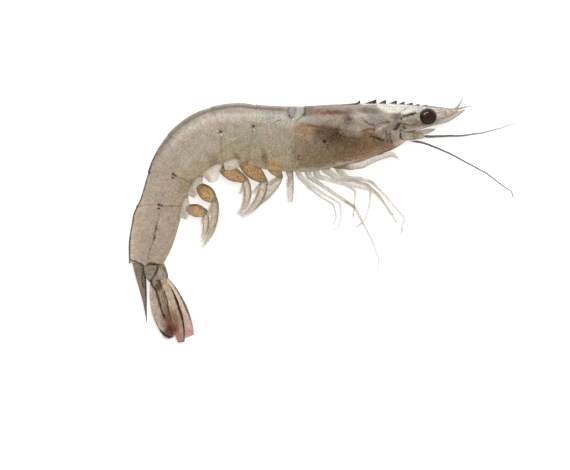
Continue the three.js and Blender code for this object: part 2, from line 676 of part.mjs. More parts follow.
const shrimp = new THREE.Group();
addTrunk(shrimp);
for (const side of [RIGHT, LEFT]) {
  addEyes(shrimp, side);
  addSmallFeelers(shrimp, side);
  addFeelerScale(shrimp, side);
  addFeeler(shrimp, side);
  addLegs(shrimp, side);
  addSwimmerets(shrimp, side);
}
addTelson(shrimp);
addFanStem(shrimp, RIGHT);
addFanStem(shrimp, LEFT);
Object.keys(FAN_BLADES).forEach((name) => addFanBlade(shrimp, name));

const outline = new THREE.Box3().setFromObject(shrimp);
const centre = outline.getCenter(new THREE.Vector3());
shrimp.position.set(-centre.x, -centre.y, -outline.min.z);

export default shrimp;
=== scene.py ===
import math

import bpy
import numpy as np
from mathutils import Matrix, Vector, noise


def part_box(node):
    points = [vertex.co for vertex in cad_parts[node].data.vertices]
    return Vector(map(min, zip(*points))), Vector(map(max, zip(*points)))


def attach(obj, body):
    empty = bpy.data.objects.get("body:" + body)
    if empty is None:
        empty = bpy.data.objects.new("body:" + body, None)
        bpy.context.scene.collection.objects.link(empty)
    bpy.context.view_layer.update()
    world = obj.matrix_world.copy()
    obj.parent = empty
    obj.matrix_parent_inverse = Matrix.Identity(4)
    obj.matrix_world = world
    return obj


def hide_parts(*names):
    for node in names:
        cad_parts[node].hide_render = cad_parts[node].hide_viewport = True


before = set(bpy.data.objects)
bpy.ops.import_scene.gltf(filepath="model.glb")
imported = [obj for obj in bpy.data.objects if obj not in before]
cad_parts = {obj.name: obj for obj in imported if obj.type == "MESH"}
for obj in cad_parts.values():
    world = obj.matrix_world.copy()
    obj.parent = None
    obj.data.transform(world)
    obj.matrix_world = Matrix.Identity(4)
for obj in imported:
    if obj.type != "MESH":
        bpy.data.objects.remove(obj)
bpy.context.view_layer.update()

# Sizes, in millimetres. The animal's side view is the XY plane, with its head towards +X, its back
# towards +Y and its right side up. Places are measured from the joint of head and abdomen.
METRE = 0.001
RIGHT, LEFT = 1, -1
SIDES = {RIGHT: "right", LEFT: "left"}
GAP = 0.2
LIP = 0.2
PLATE = 0.17
TUCK = 1.7
SPACING = 0.22
HEAD_LENGTH = 38.2
EYE = {"place": (40.7, 7.35), "out": 4.6, "radius": 2.75, "tall": 0.88}

ABDOMEN = [
    (16.3, 180, 172),
    (11.2, 172, 192),
    (11.7, 192, 219),
    (9.9, 219, 246),
    (10.7, 246, 251.5),
    (19.5, 251.5, 262),
]
SHELLS = [
    {"back": 0, "flank": 3.0, "flap": 0},
    {"back": 1.0, "flank": 1.6, "flap": 1.1},
    {"back": 1.2, "flank": 2.2, "flap": 2.6},
    {"back": 1.6, "flank": 3.2, "flap": 3.8},
    {"back": 2.2, "flank": 4.2, "flap": 2.7},
    {"back": 2.8, "flank": 1.8, "flap": 2.5},
    {"back": 0.9, "flank": -0.5, "flap": 0},
]
TRUNK = np.array([
    # along the axis, top, bottom, half the width, height of the middle
    (-38.2, 7.6, 5.0, 1.0, 8.7),
    (-37.2, 8.8, 3.4, 2.4, 8.7),
    (-35.3, 9.9, 0.9, 3.8, 8.7),
    (-32.3, 10.6, -1.7, 4.9, 8.7),
    (-29, 10.9, -3.7, 5.9, 8.7),
    (-24, 11.1, -5.4, 7.0, 8.7),
    (-19, 11.25, -7.0, 7.9, 8.7),
    (-14, 11.3, -8.3, 8.5, 8.7),
    (-9, 11.2, -9.3, 8.8, 8.7),
    (-4, 10.9, -10.2, 8.7, 8.65),
    (0, 10.7, -10.6, 8.3, 8.4),
    (8, 10.6, -10.0, 8.1, 8.2),
    (16.3, 10.1, -8.9, 7.9, 8.05),
    (22, 10.45, -8.75, 7.9, 8.05),
    (27.5, 10.3, -8.9, 7.8, 7.95),
    (33, 10.2, -9.0, 7.6, 7.75),
    (39.2, 9.35, -8.9, 7.2, 7.35),
    (44, 8.6, -8.5, 6.8, 6.95),
    (49.1, 7.8, -7.7, 6.4, 6.55),
    (54.5, 7.25, -7.2, 5.9, 6.05),
    (60.5, 6.85, -7.3, 5.4, 5.6),
    (64, 7.7, -7.5, 5.2, 5.4),
    (69, 7.35, -7.4, 4.9, 5.15),
    (74, 6.9, -6.6, 4.4, 4.85),
    (79.3, 5.75, -4.9, 3.8, 4.6),
])
FIELDS = {"top": 1, "bottom": 2, "half": 3, "lift": 4}
FLANK_TUCK = 0.24
FLANK_SHARE = 2 / 3
BELLY_HOLLOW = 2.0
HEAD_MIDDLE = 8.7
TAIL_MIDDLE = 4.6

ROSTRUM = {
    "thick": 1.1,
    "start": (6, 10.8),
    "level": 11.65,
    "sunk": 10.3,
    "sinks": (26, 50),
    "spike": (49.2, 9.95),
    "underside": [(6, 8.2), (32, 8.2), (36, 8.2), (44, 8.5), (49.2, 9.7)],
    "teeth": [
        # place, length, height
        (15.0, 3.2, 1.25),
        (19.4, 4.2, 1.55),
        (24.2, 2.6, 1.3),
        (27.6, 2.7, 1.15),
        (30.8, 2.1, 0.9),
        (33.3, 2.3, 0.7),
        (36.1, 1.7, 0.5),
        (38.3, 2.0, 0.35),
    ],
    # How high the first two teeth have risen at a third and at two thirds of their length.
    "bends": {15.0: (0.05, 0.22), 19.4: (0.28, 0.62)},
}
# The head shell's front margin: how far forward it reaches at each turn round the body, in degrees
# from the back. It curves in under the eye, and has a small spine below.
MARGIN_TURNS = (0, 30, 49, 63.5, 74, 80.4, 86, 95.5, 104, 120, 138, 150, 180)
MARGIN_REACH = (34, 33, 31.3, 30, 29.4, 31.0, 27.6, 25.8, 24.8, 25, 26.4, 25, 22)

SMALL_FEELER = {
    "root": (35.4, 5.4),
    "outs": (1.25, 1.1),
    "arcs": [(6.6, 9, 14), (4.8, 17, 20), (4.1, 22, 23)],
    "wides": (1.9, 0.75),
    "thicks": (1.0, 0.55),
    "whips": [(5.6, 46, 72), (6.4, 20, 6)],
    "whip_girths": (0.36, 0.1),
}
# The scales beside the feelers: root, arc (length and headings) and half width.
FEELER_SCALES = {
    "right": ((32.4, 2.2), (21.6, 8, 32), 2.7),
    "left": ((32.4, 1.2), (10.9, 8, 14), 1.9),
}
SCALE_OUTS = (4.4, 3.9)
SCALE_THICKS = (0.42, 0.2)
SCALE_FLAT = (-0.3, 0.9, 0.42)
SCALE_IN = np.array((0, 0.42, -0.9))
FEELER_STEM = {"root": (31.6, 1.2), "arcs": [(4.2, -6, -4), (3.3, 0, 4)], "girths": (1.75, 0.66)}
# The long feelers: root, how far it stands out, how far it sinks, girths, and arcs.
FEELERS = {
    "right": (
        (35.0, -0.9), 3.9, 11.6, (0.42, 0.14),
        [(3.6, -1, -8), (9.6, -20, -23), (13.6, -28, -26), (7.7, -38, -33), (3.1, -32, -34), (2.2, -66, -82)],
    ),
    "left": ((38.8, 0.9), 3.6, 4.5, (0.5, 0.14), [(15.2, 0, 5), (16.6, 5, 24)]),
}

# Walking legs, front to rear: the hip, how far hip, knee and tip stand out, the girth, and each
# podomere's length and heading.
LEGS = {
    "right": [
        ((10.7, -8.0), (2.4, 3.0, 1.8), 0.72,
         [(2.7, -72), (5.2, -40), (5.5, -17), (5.1, -45), (4.7, -51), (3.6, -56)]),
        ((6.2, -7.9), (3.4, 4.8, 4.0), 0.82,
         [(2.4, -73), (4.4, -34), (7.3, -4), (4.1, -14), (6.8, -45), (6.4, -50), (3.0, -46), (6.6, -106)]),
        ((3.2, -8.6), (4.6, 6.4, 5.6), 0.78,
         [(4.0, -75), (8.9, -16), (9.0, -12.5), (5.3, -95), (5.2, -107), (4.0, -145)]),
        ((0.6, -8.8), (4.8, 4.4, 3.4), 0.68,
         [(3.9, -75), (7.6, -34), (5.5, -33), (4.8, -34), (5.6, -62), (3.6, -144)]),
        ((-2.6, -9.0), (4.6, 6.6, 4.6), 0.62,
         [(3.4, -74), (5.6, -40), (4.0, -35), (6.4, -29), (4.1, -85), (3.7, -100), (3.6, -146)]),
    ],
    "left": [
        ((10.2, -8.0), (2.4, 3.4, 4.8), 0.7,
         [(2.6, -74), (5.4, -36), (5.4, -14), (5.2, -40), (4.9, -57), (3.4, -66)]),
        ((5.8, -8.0), (3.4, 5.2, 6.4), 0.78,
         [(2.5, -74), (4.6, -36), (7.0, -8), (4.4, -20), (6.6, -47), (6.0, -56), (3.0, -62)]),
        ((2.8, -8.6), (4.6, 6.3, 7.4), 0.74,
         [(3.8, -76), (8.8, -14), (5.2, -30), (5.6, -94), (3.6, -100)]),
        ((0.2, -8.8), (4.8, 5.7, 6.6), 0.66,
         [(3.8, -76), (8.2, -33), (5.6, -34), (4.9, -35), (5.4, -62), (6.8, -62), (6.4, -70), (4.8, -94)]),
        ((-3.0, -9.0), (4.6, 6.5, 7.4), 0.6,
         [(3.4, -76), (5.4, -46), (4.6, -38), (5.0, -31), (4.0, -76), (3.9, -108)]),
    ],
}
PINCER_LEGS = 3
LIMB_TIP = 0.22
LEG_TAPER = 1.1
JAW_LEG = {
    "hip": (9.0, -6.6),
    "outs": {"right": (4.4, 4.9, 3.6), "left": (4.4, 5.1, 4.6)},
    "girth": 1.2,
    "taper": 4,
    "podomeres": [(2.2, -60), (5.0, -6), (3.9, 8), (4.9, 26), (5.8, 14), (3.4, -42)],
}

# Swimmerets: root, how far it stands out, stem (length, heading), plumpness, blade (length and the
# headings at its root and tip) and the blade's half width.
SWIMMERETS = {
    "right": [
        ((-12.6, -6.6), 3.6, (7.4, -52), 2.0, (21.5, -118, -166), 1.2),
        ((-21.6, -6.9), 4.9, (10.8, -40), 2.6, (14.8, -92, -152), 1.2),
        ((-28.2, -9.7), 3.4, (9.4, -24), 2.3, (12.2, -66, -134), 1.1),
        ((-35.2, -15.5), 4.4, (7.2, -44), 2.3, (16.2, -80, -128), 1.2),
        ((-39.3, -22.9), 3.0, (6.8, -16), 1.9, (9.6, -80, -118), 1.0),
    ],
    "left": [
        ((-5.6, -8.6), 3.6, (4.0, -78), 1.2, (8.4, -90, -92), 1.05),
        ((-20.8, -7.0), 4.5, (9.8, -45), 2.2, (14.0, -94, -148), 1.1),
        ((-27.4, -9.5), 3.5, (8.6, -30), 2.0, (11.8, -70, -132), 1.0),
        ((-34.4, -15.1), 4.0, (6.8, -46), 1.9, (15.2, -84, -124), 1.1),
        ((-38.8, -22.3), 3.0, (6.2, -14), 1.6, (9.0, -84, -114), 0.9),
    ],
}

TELSON = {"root": (-55.7, -39.4), "length": 21.3, "from": 283, "to": 275, "wide": 2.0, "thick": 2.9}
FAN_STEM = {"root": (-51.1, -41.0), "length": 7.2, "heading": 290, "wide": 2.6, "thick": 1.2, "out": 1.9}
LEFT_STEM_SHIFT = (1.6, 0.5)
# Fan blades: root, length, heading at root and tip, half width, heights at root and tip, tilt.
FAN_BLADES = {
    "outer_right": ((-47.1, -46.4), 21.8, 297, 276, 2.4, (7.2, 6.2), 32),
    "inner_right": ((-49.9, -46.9), 19.7, 281, 292, 3.15, (5.9, 4.7), 8),
    "inner_left": ((-48.6, -46.4), 19.4, 288, 291, 3.0, (3.6, 3.0), -8),
    "outer_left": ((-47.0, -45.6), 21.6, 297, 291, 2.9, (2.4, 1.4), -8),
}

# The frame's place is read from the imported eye, whose box is centred on the eyeball.
eye_low, eye_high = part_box("eye_right")
EYE_CENTRE = np.array((*EYE["place"], HEAD_MIDDLE + EYE["out"]))
SHIFT = np.array((eye_low + eye_high) / 2) / METRE - EYE_CENTRE

# Small tools


def smooth(value, low, high):
    u = np.clip((np.asarray(value, float) - low) / (high - low), 0, 1)
    return u * u * (3 - 2 * u)


def mix(a, b, t):
    return a + (b - a) * t


def unit(vectors):
    return vectors / np.maximum(np.linalg.norm(vectors, axis=-1, keepdims=True), 1e-9)


def linear(colour):
    c = np.array(colour, float) / 255
    return np.where(c <= 0.04045, c / 12.92, ((c + 0.055) / 1.055) ** 2.4)


def trunk_value(field, at):
    """The trunk's size at a place along the axis, on a smooth curve through its rows."""
    xs, ys = TRUNK[:, 0], TRUNK[:, FIELDS[field]]
    before = np.maximum(np.arange(len(xs)) - 1, 0)
    after = np.minimum(np.arange(len(xs)) + 1, len(xs) - 1)
    slope = (ys[after] - ys[before]) / (xs[after] - xs[before])
    k = np.clip(np.searchsorted(xs, at, side="right") - 1, 0, len(xs) - 2)
    span = xs[k + 1] - xs[k]
    t = np.clip((at - xs[k]) / span, 0, 1)
    t2, t3 = t**2, t**3
    return (
        (2 * t3 - 3 * t2 + 1) * ys[k]
        + (t3 - 2 * t2 + t) * span * slope[k]
        + (3 * t2 - 2 * t3) * ys[k + 1]
        + (t3 - t2) * span * slope[k + 1]
    )


def arc_point(start, length, first, last, distance):
    turn, begin = math.radians(last - first), math.radians(first)
    if abs(turn) < 1e-6:
        return start[0] + distance * np.cos(begin), start[1] + distance * np.sin(begin)
    radius, now = length / turn, begin + turn * distance / length
    x = start[0] + radius * (np.sin(now) - math.sin(begin))
    return x, start[1] - radius * (np.cos(now) - math.cos(begin))


def axis_at(at):
    """The body axis at places along it: x, y and heading in degrees."""
    at = np.asarray(at, float)
    x, y, heading = -at, np.zeros_like(at), np.full_like(at, ABDOMEN[0][1])
    start, gone = (0.0, 0.0), 0.0
    for n, (length, first, last) in enumerate(ABDOMEN):
        end = gone + length if n < len(ABDOMEN) - 1 else np.inf
        here = (at > gone) & (at <= end)
        px, py = arc_point(start, length, first, last, at - gone)
        x, y = np.where(here, px, x), np.where(here, py, y)
        heading = np.where(here, mix(first, last, (at - gone) / length), heading)
        start = arc_point(start, length, first, last, length)
        gone += length
    return x, y, heading


JOINTS = np.concatenate([[-HEAD_LENGTH, 0], np.cumsum([ring[0] for ring in ABDOMEN])])


def trunk_points(at, turn, proud, flap=0.0, wall=0.06):
    """Points of the trunk's skin. turn goes once round from the back, over the left flank."""
    x, y, heading = axis_at(at)
    top, bottom, wide, lift = (trunk_value(field, at) for field in FIELDS)
    tall, half = (top - bottom) / 2 + proud, wide + proud
    level = np.cos(turn)
    share = np.clip(1 - np.abs(np.pi - turn) / (np.pi / 2), 0, 1)
    flank = np.minimum(share / FLANK_SHARE, 1)
    belly = np.maximum((share - FLANK_SHARE) / (1 - FLANK_SHARE), 0)
    hollow = BELLY_HOLLOW * np.minimum(1, half / 7)
    low = -tall * np.sin(flank * np.pi / 2) ** 1.15 + hollow * (1 - (1 - belly) ** 2)
    low = low - flap * smooth(flank, 0.6, 1) * (1 - np.minimum(1, belly / wall))
    up = np.where(level >= 0, tall * np.abs(level) ** 0.93, low)
    out_low = half * (1 - FLANK_TUCK * flank**2) * (1 - belly)
    out = np.where(level >= 0, half * np.abs(np.sin(turn)) ** 0.93, out_low)
    away = np.radians(heading - 90)
    rise = (top + bottom) / 2 + up
    z = np.maximum(lift + np.where(turn > np.pi, out, -out), 0.02)
    return np.stack([x + rise * np.cos(away), y + rise * np.sin(away), z], -1), up / tall


def edge_reach(n, turn):
    back, flank = SHELLS[n]["back"], SHELLS[n]["flank"]
    level = np.cos(turn)
    share = np.maximum(0, 1 - np.abs(np.pi - turn) / (np.pi / 2))
    if n == 0:
        step = 1 - smooth(level, 0.4, 0.68)
        return mix(back, flank, step) * (1 - 0.9 * smooth(share, 0.4, 0.9))
    return np.where(level >= 0, back * level**2, flank * np.sin(np.pi * share**1.6))


def chain(start, arcs, height, spacing=0.4):
    """Points along a chain of arcs in the side view, with a height for each share of the way."""
    total = sum(arc[0] for arc in arcs)
    rows, here, gone = [], start, 0.0
    for n, arc in enumerate(arcs):
        length, first, last = arc[0], arc[1], arc[-1]
        count = max(2, round(length / spacing))
        for i in range(1 if n else 0, count + 1):
            x, y = arc_point(here, length, first, last, length * i / count)
            rows.append((x, y, height((gone + length * i / count) / total)))
        here = arc_point(here, length, first, last, length)
        gone += length
    return np.array(rows, float)


def uneven(points, scale, seed):
    """Smooth noise between -1 and 1 at each point, with lumps of about scale millimetres."""
    offset = Vector((seed * 7.3, seed * 3.1, seed * 5.7))
    return np.array([noise.noise(Vector(p) / scale + offset) for p in points])


# Pieces


class Part:
    """Points and faces in millimetres, with the colour, clearness and specks of each point."""

    def __init__(self, points, faces):
        self.points = np.asarray(points, float).reshape(-1, 3)
        self.faces = faces
        count = len(self.points)
        self.colour = np.ones((count, 3))
        self.clear = np.zeros(count)
        self.speck = np.zeros(count)
        self.skin = self.points.copy()
        self.t = self.angle = None
        self.flat = self.points[:, :2]

    def wash(self, colour, mask=1.0):
        mask = np.clip(np.broadcast_to(mask, len(self.points)), 0, 1)[:, None]
        self.colour += mask * (linear(colour) - self.colour)
        return self

    def wobble(self, amount, scale, seed):
        """Moves where the paint falls, so that its edges aren't even."""
        shift = [uneven(self.points, scale, seed + k) for k in (0, 20)]
        self.flat = self.points[:, :2] + amount * np.stack(shift, -1)

    def spot(self, centre, radii, lean=0, soft=0.5):
        d = self.flat - np.array(centre)
        c, s = math.cos(math.radians(lean)), math.sin(math.radians(lean))
        along, over = d[:, 0] * c + d[:, 1] * s, d[:, 1] * c - d[:, 0] * s
        return 1 - smooth(np.hypot(along / radii[0], over / radii[1]), 1 - soft, 1 + soft)

    def distance(self, places):
        far = np.full(len(self.flat), 1e9)
        for a, b in zip(np.array(places[:-1], float), np.array(places[1:], float)):
            t = np.clip(((self.flat - a) @ (b - a)) / max((b - a) @ (b - a), 1e-9), 0, 1)
            far = np.minimum(far, np.linalg.norm(self.flat - a - t[:, None] * (b - a), axis=1))
        return far

    def line(self, places, width, soft=0.6):
        return 1 - smooth(self.distance(places) / width, 1 - soft, 1 + soft)

    def area(self, corners, soft):
        """1 inside the outline and 0 outside, with a soft edge."""
        loop = [*corners, corners[0]]
        x, y = self.flat.T
        inside = np.zeros(len(x), bool)
        for (ax, ay), (bx, by) in zip(loop[:-1], loop[1:]):
            if ay != by:
                inside ^= ((ay > y) != (by > y)) & (x < ax + (bx - ax) * (y - ay) / (by - ay))
        far = self.distance(loop)
        return smooth(np.where(inside, far, -far), -soft, soft)

    def draw(self, areas=(), patches=(), strokes=()):
        """Paints areas, then soft patches, then strokes, which are broken here and there."""
        for corners, soft, colour, strength in areas:
            self.wash(colour, strength * self.area(corners, soft))
        for centre, radii, colour, strength, *lean in patches:
            self.wash(colour, strength * self.spot(centre, radii, *lean))
        whole = 0.5 + 0.5 * smooth(uneven(self.points, 0.4, 77), -0.3, 0.1)
        for places, width, colour, strength in strokes:
            self.wash(colour, strength * whole * self.line(places, 1.15 * width))
        return self

    def stain(self, colour, strength, scale, seed, cut=0.05, mask=1.0):
        """Uneven blotches of a colour."""
        return self.wash(colour, mask * strength * smooth(uneven(self.points, scale, seed), cut, cut + 0.3))


def ring_faces(rings, sides):
    r = np.arange(rings - 1)[:, None] * sides
    k = np.arange(sides)[None, :]
    n = (k + 1) % sides
    return np.stack([r + k, r + n, r + n + sides, r + k + sides], -1).reshape(-1, 4).tolist()


def closed(rings, first, last):
    """One closed surface through rings of points, with a middle point at each end."""
    count, sides = rings.shape[:2]
    points = np.concatenate([rings.reshape(-1, 3), [first, last]])
    faces = ring_faces(count, sides)
    start, end, tail = count * sides, count * sides + 1, (count - 1) * sides
    for k in range(sides):
        n = (k + 1) % sides
        faces.append([start, n, k])
        faces.append([end, tail + k, tail + n])
    return Part(points, faces)


def sweep(points, wide, thick, flat=(0, 0, 1), sides=16):
    """A rod or blade along points. wide and thick are its half sizes at each share of the way."""
    points = np.asarray(points, float)
    steps = np.linalg.norm(np.diff(points, axis=0), axis=1)
    t = np.concatenate([[0], np.cumsum(steps)]) / steps.sum()
    way = unit(np.gradient(points, axis=0))
    across = unit(np.cross(np.array(flat, float), way))
    over = unit(np.cross(way, across))
    angle = 2 * np.pi * np.arange(sides) / sides
    w = np.broadcast_to(wide(t), t.shape)[:, None, None]
    h = np.broadcast_to(thick(t), t.shape)[:, None, None]
    c, s = np.cos(angle)[None, :, None], np.sin(angle)[None, :, None]
    rings = points[:, None] + across[:, None] * w * c + over[:, None] * h * s
    part = closed(rings, points[0], points[-1])
    part.t = np.append(np.repeat(t, sides), [0, 1])
    part.angle = np.append(np.tile(angle, len(t)), [0, 0])
    broad = np.append((w[:, 0] * c[0].T).ravel(), [0, 0])
    part.skin = np.stack([broad, part.t * steps.sum(), 0 * part.t], -1)
    return part


def hairs(roots, ways, lengths, girth=0.045):
    """Fine bristles, each a three-sided spike."""
    points, faces = [], []
    for root, way, length in zip(roots, unit(np.asarray(ways, float)), lengths):
        side = unit(np.cross(way, (0.1, 0.2, 1.0)))
        over = np.cross(way, side)
        base = len(points)
        for k in range(3):
            a = 2 * math.pi * k / 3
            points.append(root + girth * (math.cos(a) * side + math.sin(a) * over))
        points.append(root + way * length)
        faces += [[base, base + 1, base + 3], [base + 1, base + 2, base + 3]]
        faces += [[base + 2, base, base + 3], [base + 2, base + 1, base]]
    return Part(points, faces)


def add(name, parts, material, replaces=()):
    """Makes one piece of its parts, in the row frame, riding on the body."""
    points, faces, start = [], [], 0
    for part in parts:
        points.append(part.points)
        faces += [[v + start for v in face] for face in part.faces]
        start += len(part.points)
    mesh = bpy.data.meshes.new(name)
    mesh.from_pydata(((np.concatenate(points) + SHIFT) * METRE).tolist(), [], faces)
    mesh.polygons.foreach_set("use_smooth", [True] * len(mesh.polygons))
    paint = np.concatenate([part.colour for part in parts])
    paint = np.concatenate([paint, np.ones((len(paint), 1))], 1)
    mesh.attributes.new("paint", "FLOAT_COLOR", "POINT").data.foreach_set("color", paint.ravel())
    for field in ("clear", "speck"):
        values = np.concatenate([getattr(part, field) for part in parts])
        mesh.attributes.new(field, "FLOAT", "POINT").data.foreach_set("value", values)
    skin = np.concatenate([part.skin for part in parts]).ravel()
    mesh.attributes.new("skin", "FLOAT_VECTOR", "POINT").data.foreach_set("vector", skin)
    mesh.materials.append(material)
    mesh.validate()
    mesh.update()
    piece = bpy.data.objects.new(name, mesh)
    bpy.context.scene.collection.objects.link(piece)
    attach(piece, "root")
    if replaces:
        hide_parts(*replaces)
    return piece


# Materials


class Shader:
    """A material's nodes, made one after another."""

    def __init__(self, name):
        self.material = bpy.data.materials.new(name)
        self.material.use_nodes = True
        self.tree = self.material.node_tree
        self.principled = next(n for n in self.tree.nodes if n.type == "BSDF_PRINCIPLED")

    def put(self, kind, inputs=None, **settings):
        node = self.tree.nodes.new(kind)
        for key, value in settings.items():
            setattr(node, key, value)
        for key, value in (inputs or {}).items():
            if isinstance(value, bpy.types.NodeSocket):
                self.tree.links.new(value, node.inputs[key])
            else:
                node.inputs[key].default_value = value
        return node

    def attribute(self, name):
        return self.put("ShaderNodeAttribute", attribute_name=name)

    def span(self, value, low, high, to_low, to_high):
        keys = {"Value": value, "From Min": low, "From Max": high, "To Min": to_low, "To Max": to_high}
        return self.put("ShaderNodeMapRange", keys, interpolation_type="SMOOTHSTEP").outputs["Result"]

    def times(self, a, b):
        return self.put("ShaderNodeMath", {0: a, 1: b}, operation="MULTIPLY").outputs[0]

    def blend(self, factor, a, b, kind="MIX"):
        node = self.put("ShaderNodeMix", data_type="RGBA", blend_type=kind)
        sockets = {s.identifier: s for s in node.inputs}
        for key, value in (("Factor_Float", factor), ("A_Color", a), ("B_Color", b)):
            if isinstance(value, bpy.types.NodeSocket):
                self.tree.links.new(value, sockets[key])
            else:
                sockets[key].default_value = value
        return next(s for s in node.outputs if s.identifier == "Result_Color")

    def noise(self, vector, scale, detail=3.0, rough=0.55):
        keys = {"Vector": vector, "Scale": scale, "Detail": detail, "Roughness": rough}
        return self.put("ShaderNodeTexNoise", keys).outputs[0]

    def link(self, value, key):
        self.tree.links.new(value, self.principled.inputs[key])

    def set(self, **values):
        for key, value in values.items():
            self.principled.inputs[key.replace("_", " ")].default_value = value


SPECK_BROWN = (*linear((62, 44, 34)), 1)


def wet(name, rough=(0.36, 0.56), mottle=0.13, fibre=0.07, relief=0.5, flesh=0.1, coat=0.22):
    """Wet shell: painted colour, mottled and finely speckled, with a soft uneven gloss."""
    s = Shader(name)
    place = s.put("ShaderNodeTexCoord").outputs["Object"]
    colour = s.attribute("paint").outputs["Color"]
    hue = s.span(s.noise(place, 260, 4.0), 0.36, 0.64, 0.0, 1.0)
    colour = s.blend(1.0, colour, s.blend(hue, (1.03, 0.993, 0.98, 1), (0.975, 1.008, 0.99, 1)), "MULTIPLY")
    clouds = s.span(s.noise(place, 480), 0.3, 0.7, 1 - 0.6 * mottle, 1 + 0.6 * mottle)
    grain = s.span(s.noise(place, 2600, 2.0, 0.7), 0.3, 0.7, 1 - 2 * mottle, 1 + 2 * mottle)
    skin = {"Vector": s.attribute("skin").outputs["Vector"], "Scale": (2.4, 0.25, 1)}
    long = s.put("ShaderNodeMapping", skin)
    fibres = s.span(s.noise(long.outputs[0], 1.0, 3.0, 0.6), 0.3, 0.7, 1 - fibre, 1 + fibre)
    for layer in (clouds, grain, fibres):
        colour = s.blend(1.0, colour, layer, "MULTIPLY")
    cells = s.put("ShaderNodeTexVoronoi", {"Vector": place, "Scale": 1500.0, "Randomness": 1.0})
    dots = s.span(cells.outputs["Distance"], 0.12, 0.36, 1.0, 0.0)
    chosen = s.put("ShaderNodeSeparateColor", {"Color": cells.outputs["Color"]}).outputs[0]
    dots = s.times(dots, s.span(chosen, 0.5, 0.75, 0.0, 1.0))
    dots = s.times(dots, s.attribute("speck").outputs["Fac"])
    s.link(s.blend(dots, colour, SPECK_BROWN), "Base Color")
    s.link(s.span(s.noise(place, 700, 4.0, 0.6), 0.3, 0.7, *rough), "Roughness")
    clear = s.attribute("clear").outputs["Fac"]
    s.link(s.put("ShaderNodeMath", {0: 1.0, 1: clear}, operation="SUBTRACT").outputs[0], "Alpha")
    lumps = {"Height": s.noise(place, 520, 3.0), "Distance": 0.0002, "Strength": relief}
    bump = s.put("ShaderNodeBump", lumps).outputs[0]
    pits = {"Height": s.noise(place, 3200, 2.0), "Distance": 0.00006, "Strength": relief, "Normal": bump}
    s.link(s.put("ShaderNodeBump", pits).outputs[0], "Normal")
    shine = s.span(s.attribute("paint").outputs["Color"], 0.0, 0.14, 0.1, 1.0)
    s.link(s.times(shine, coat), "Coat Weight")
    s.set(Specular_IOR_Level=0.15, IOR=1.36, Coat_Roughness=0.24)
    s.set(Subsurface_Weight=flesh, Subsurface_Scale=0.0008, Subsurface_Radius=(1.0, 0.7, 0.5))
    return s.material


def eye_material():
    s = Shader("eye_wet")
    place = s.put("ShaderNodeTexCoord").outputs["Object"]
    cells = s.put("ShaderNodeTexVoronoi", {"Vector": place, "Scale": 5200.0, "Randomness": 0.25})
    net = s.span(cells.outputs["Distance"], 0.1, 0.6, 1.25, 0.7)
    clouds = s.span(s.noise(place, 1900, 3.0, 0.7), 0.35, 0.65, 0.5, 1.6)
    colour = s.blend(1.0, s.attribute("paint").outputs["Color"], net, "MULTIPLY")
    s.link(s.blend(1.0, colour, clouds, "MULTIPLY"), "Base Color")
    s.link(s.span(s.noise(place, 900), 0.3, 0.7, 0.16, 0.26), "Roughness")
    facets = {"Height": cells.outputs["Distance"], "Distance": 0.00004, "Strength": 0.4}
    s.link(s.put("ShaderNodeBump", facets, invert=True).outputs[0], "Normal")
    s.set(Specular_IOR_Level=0.0, Coat_Weight=0.55, Coat_IOR=1.5, Coat_Roughness=0.15)
    return s.material


SHELL = wet("shell_wet")
HEAD = wet("head_wet", mottle=0.15, fibre=0.06)
TAIL = wet("tail_wet", fibre=0.06)
FAN = wet("fan_wet", fibre=0.2)
LEG = wet("leg_wet", mottle=0.1, fibre=0.06, flesh=0.25)
PADDLE = wet("paddle_wet", mottle=0.15, fibre=0.12)
FEELER = wet("feeler_wet", mottle=0.12, fibre=0.12)
EYE_WET = eye_material()

# Trunk

# Colours along the axis: of the back, of the band below it, of the side and of the flank's foot. The band's lighter
# colour is a painted light band, and the back's darker colour on most rows is painted shade by the outline.
TONES = [
    (-36, (206, 190, 174), (226, 216, 200), (176, 160, 142), (150, 118, 100)),
    (-20, (178, 164, 152), (200, 190, 175), (158, 146, 134), (128, 102, 78)),
    (-6, (160, 144, 132), (150, 128, 112), (150, 132, 116), (138, 116, 88)),
    (4, (172, 162, 152), (190, 182, 170), (174, 160, 140), (168, 153, 127)),
    (24, (176, 166, 154), (202, 193, 179), (182, 171, 152), (180, 161, 132)),
    (44, (166, 152, 140), (188, 176, 158), (186, 171, 151), (178, 162, 134)),
    (70, (214, 193, 169), (194, 175, 156), (184, 164, 147), (182, 162, 144)),
]
# What shows through the head shell. Outlines, softness, colour and strength.
ORGANS = [
    (-8, 4.0), (3.6, 4.4), (7.3, 3.3), (11.9, 2.9), (12.9, 0.9), (17.5, 0.6), (20.5, 2.6), (23.4, 2.6),
    (26.2, -2.4), (24.5, -4.6), (17, -7.6), (9, -9.6), (-8, -10.0),
]
AREAS = [
    ([(10.5, 5.6), (15, 6.6), (20, 6.2), (21.5, 3.4), (18.5, 1.4), (13.2, 1.2), (12.2, 3.1), (7.6, 3.6)],
     0.5, (168, 153, 140), 0.85),
    ([(-0.2, 11.4), (-0.2, 7.6), (1.6, 6.9), (2.6, 8), (2.8, 11.4)], 0.4, (124, 124, 104), 0.9),
    ([(23.5, 11.6), (23.8, 10.2), (28, 8.4), (34, 8.4), (38.3, 9.8), (38.3, 11.6)],
     0.6, (254, 249, 240), 0.95),
]
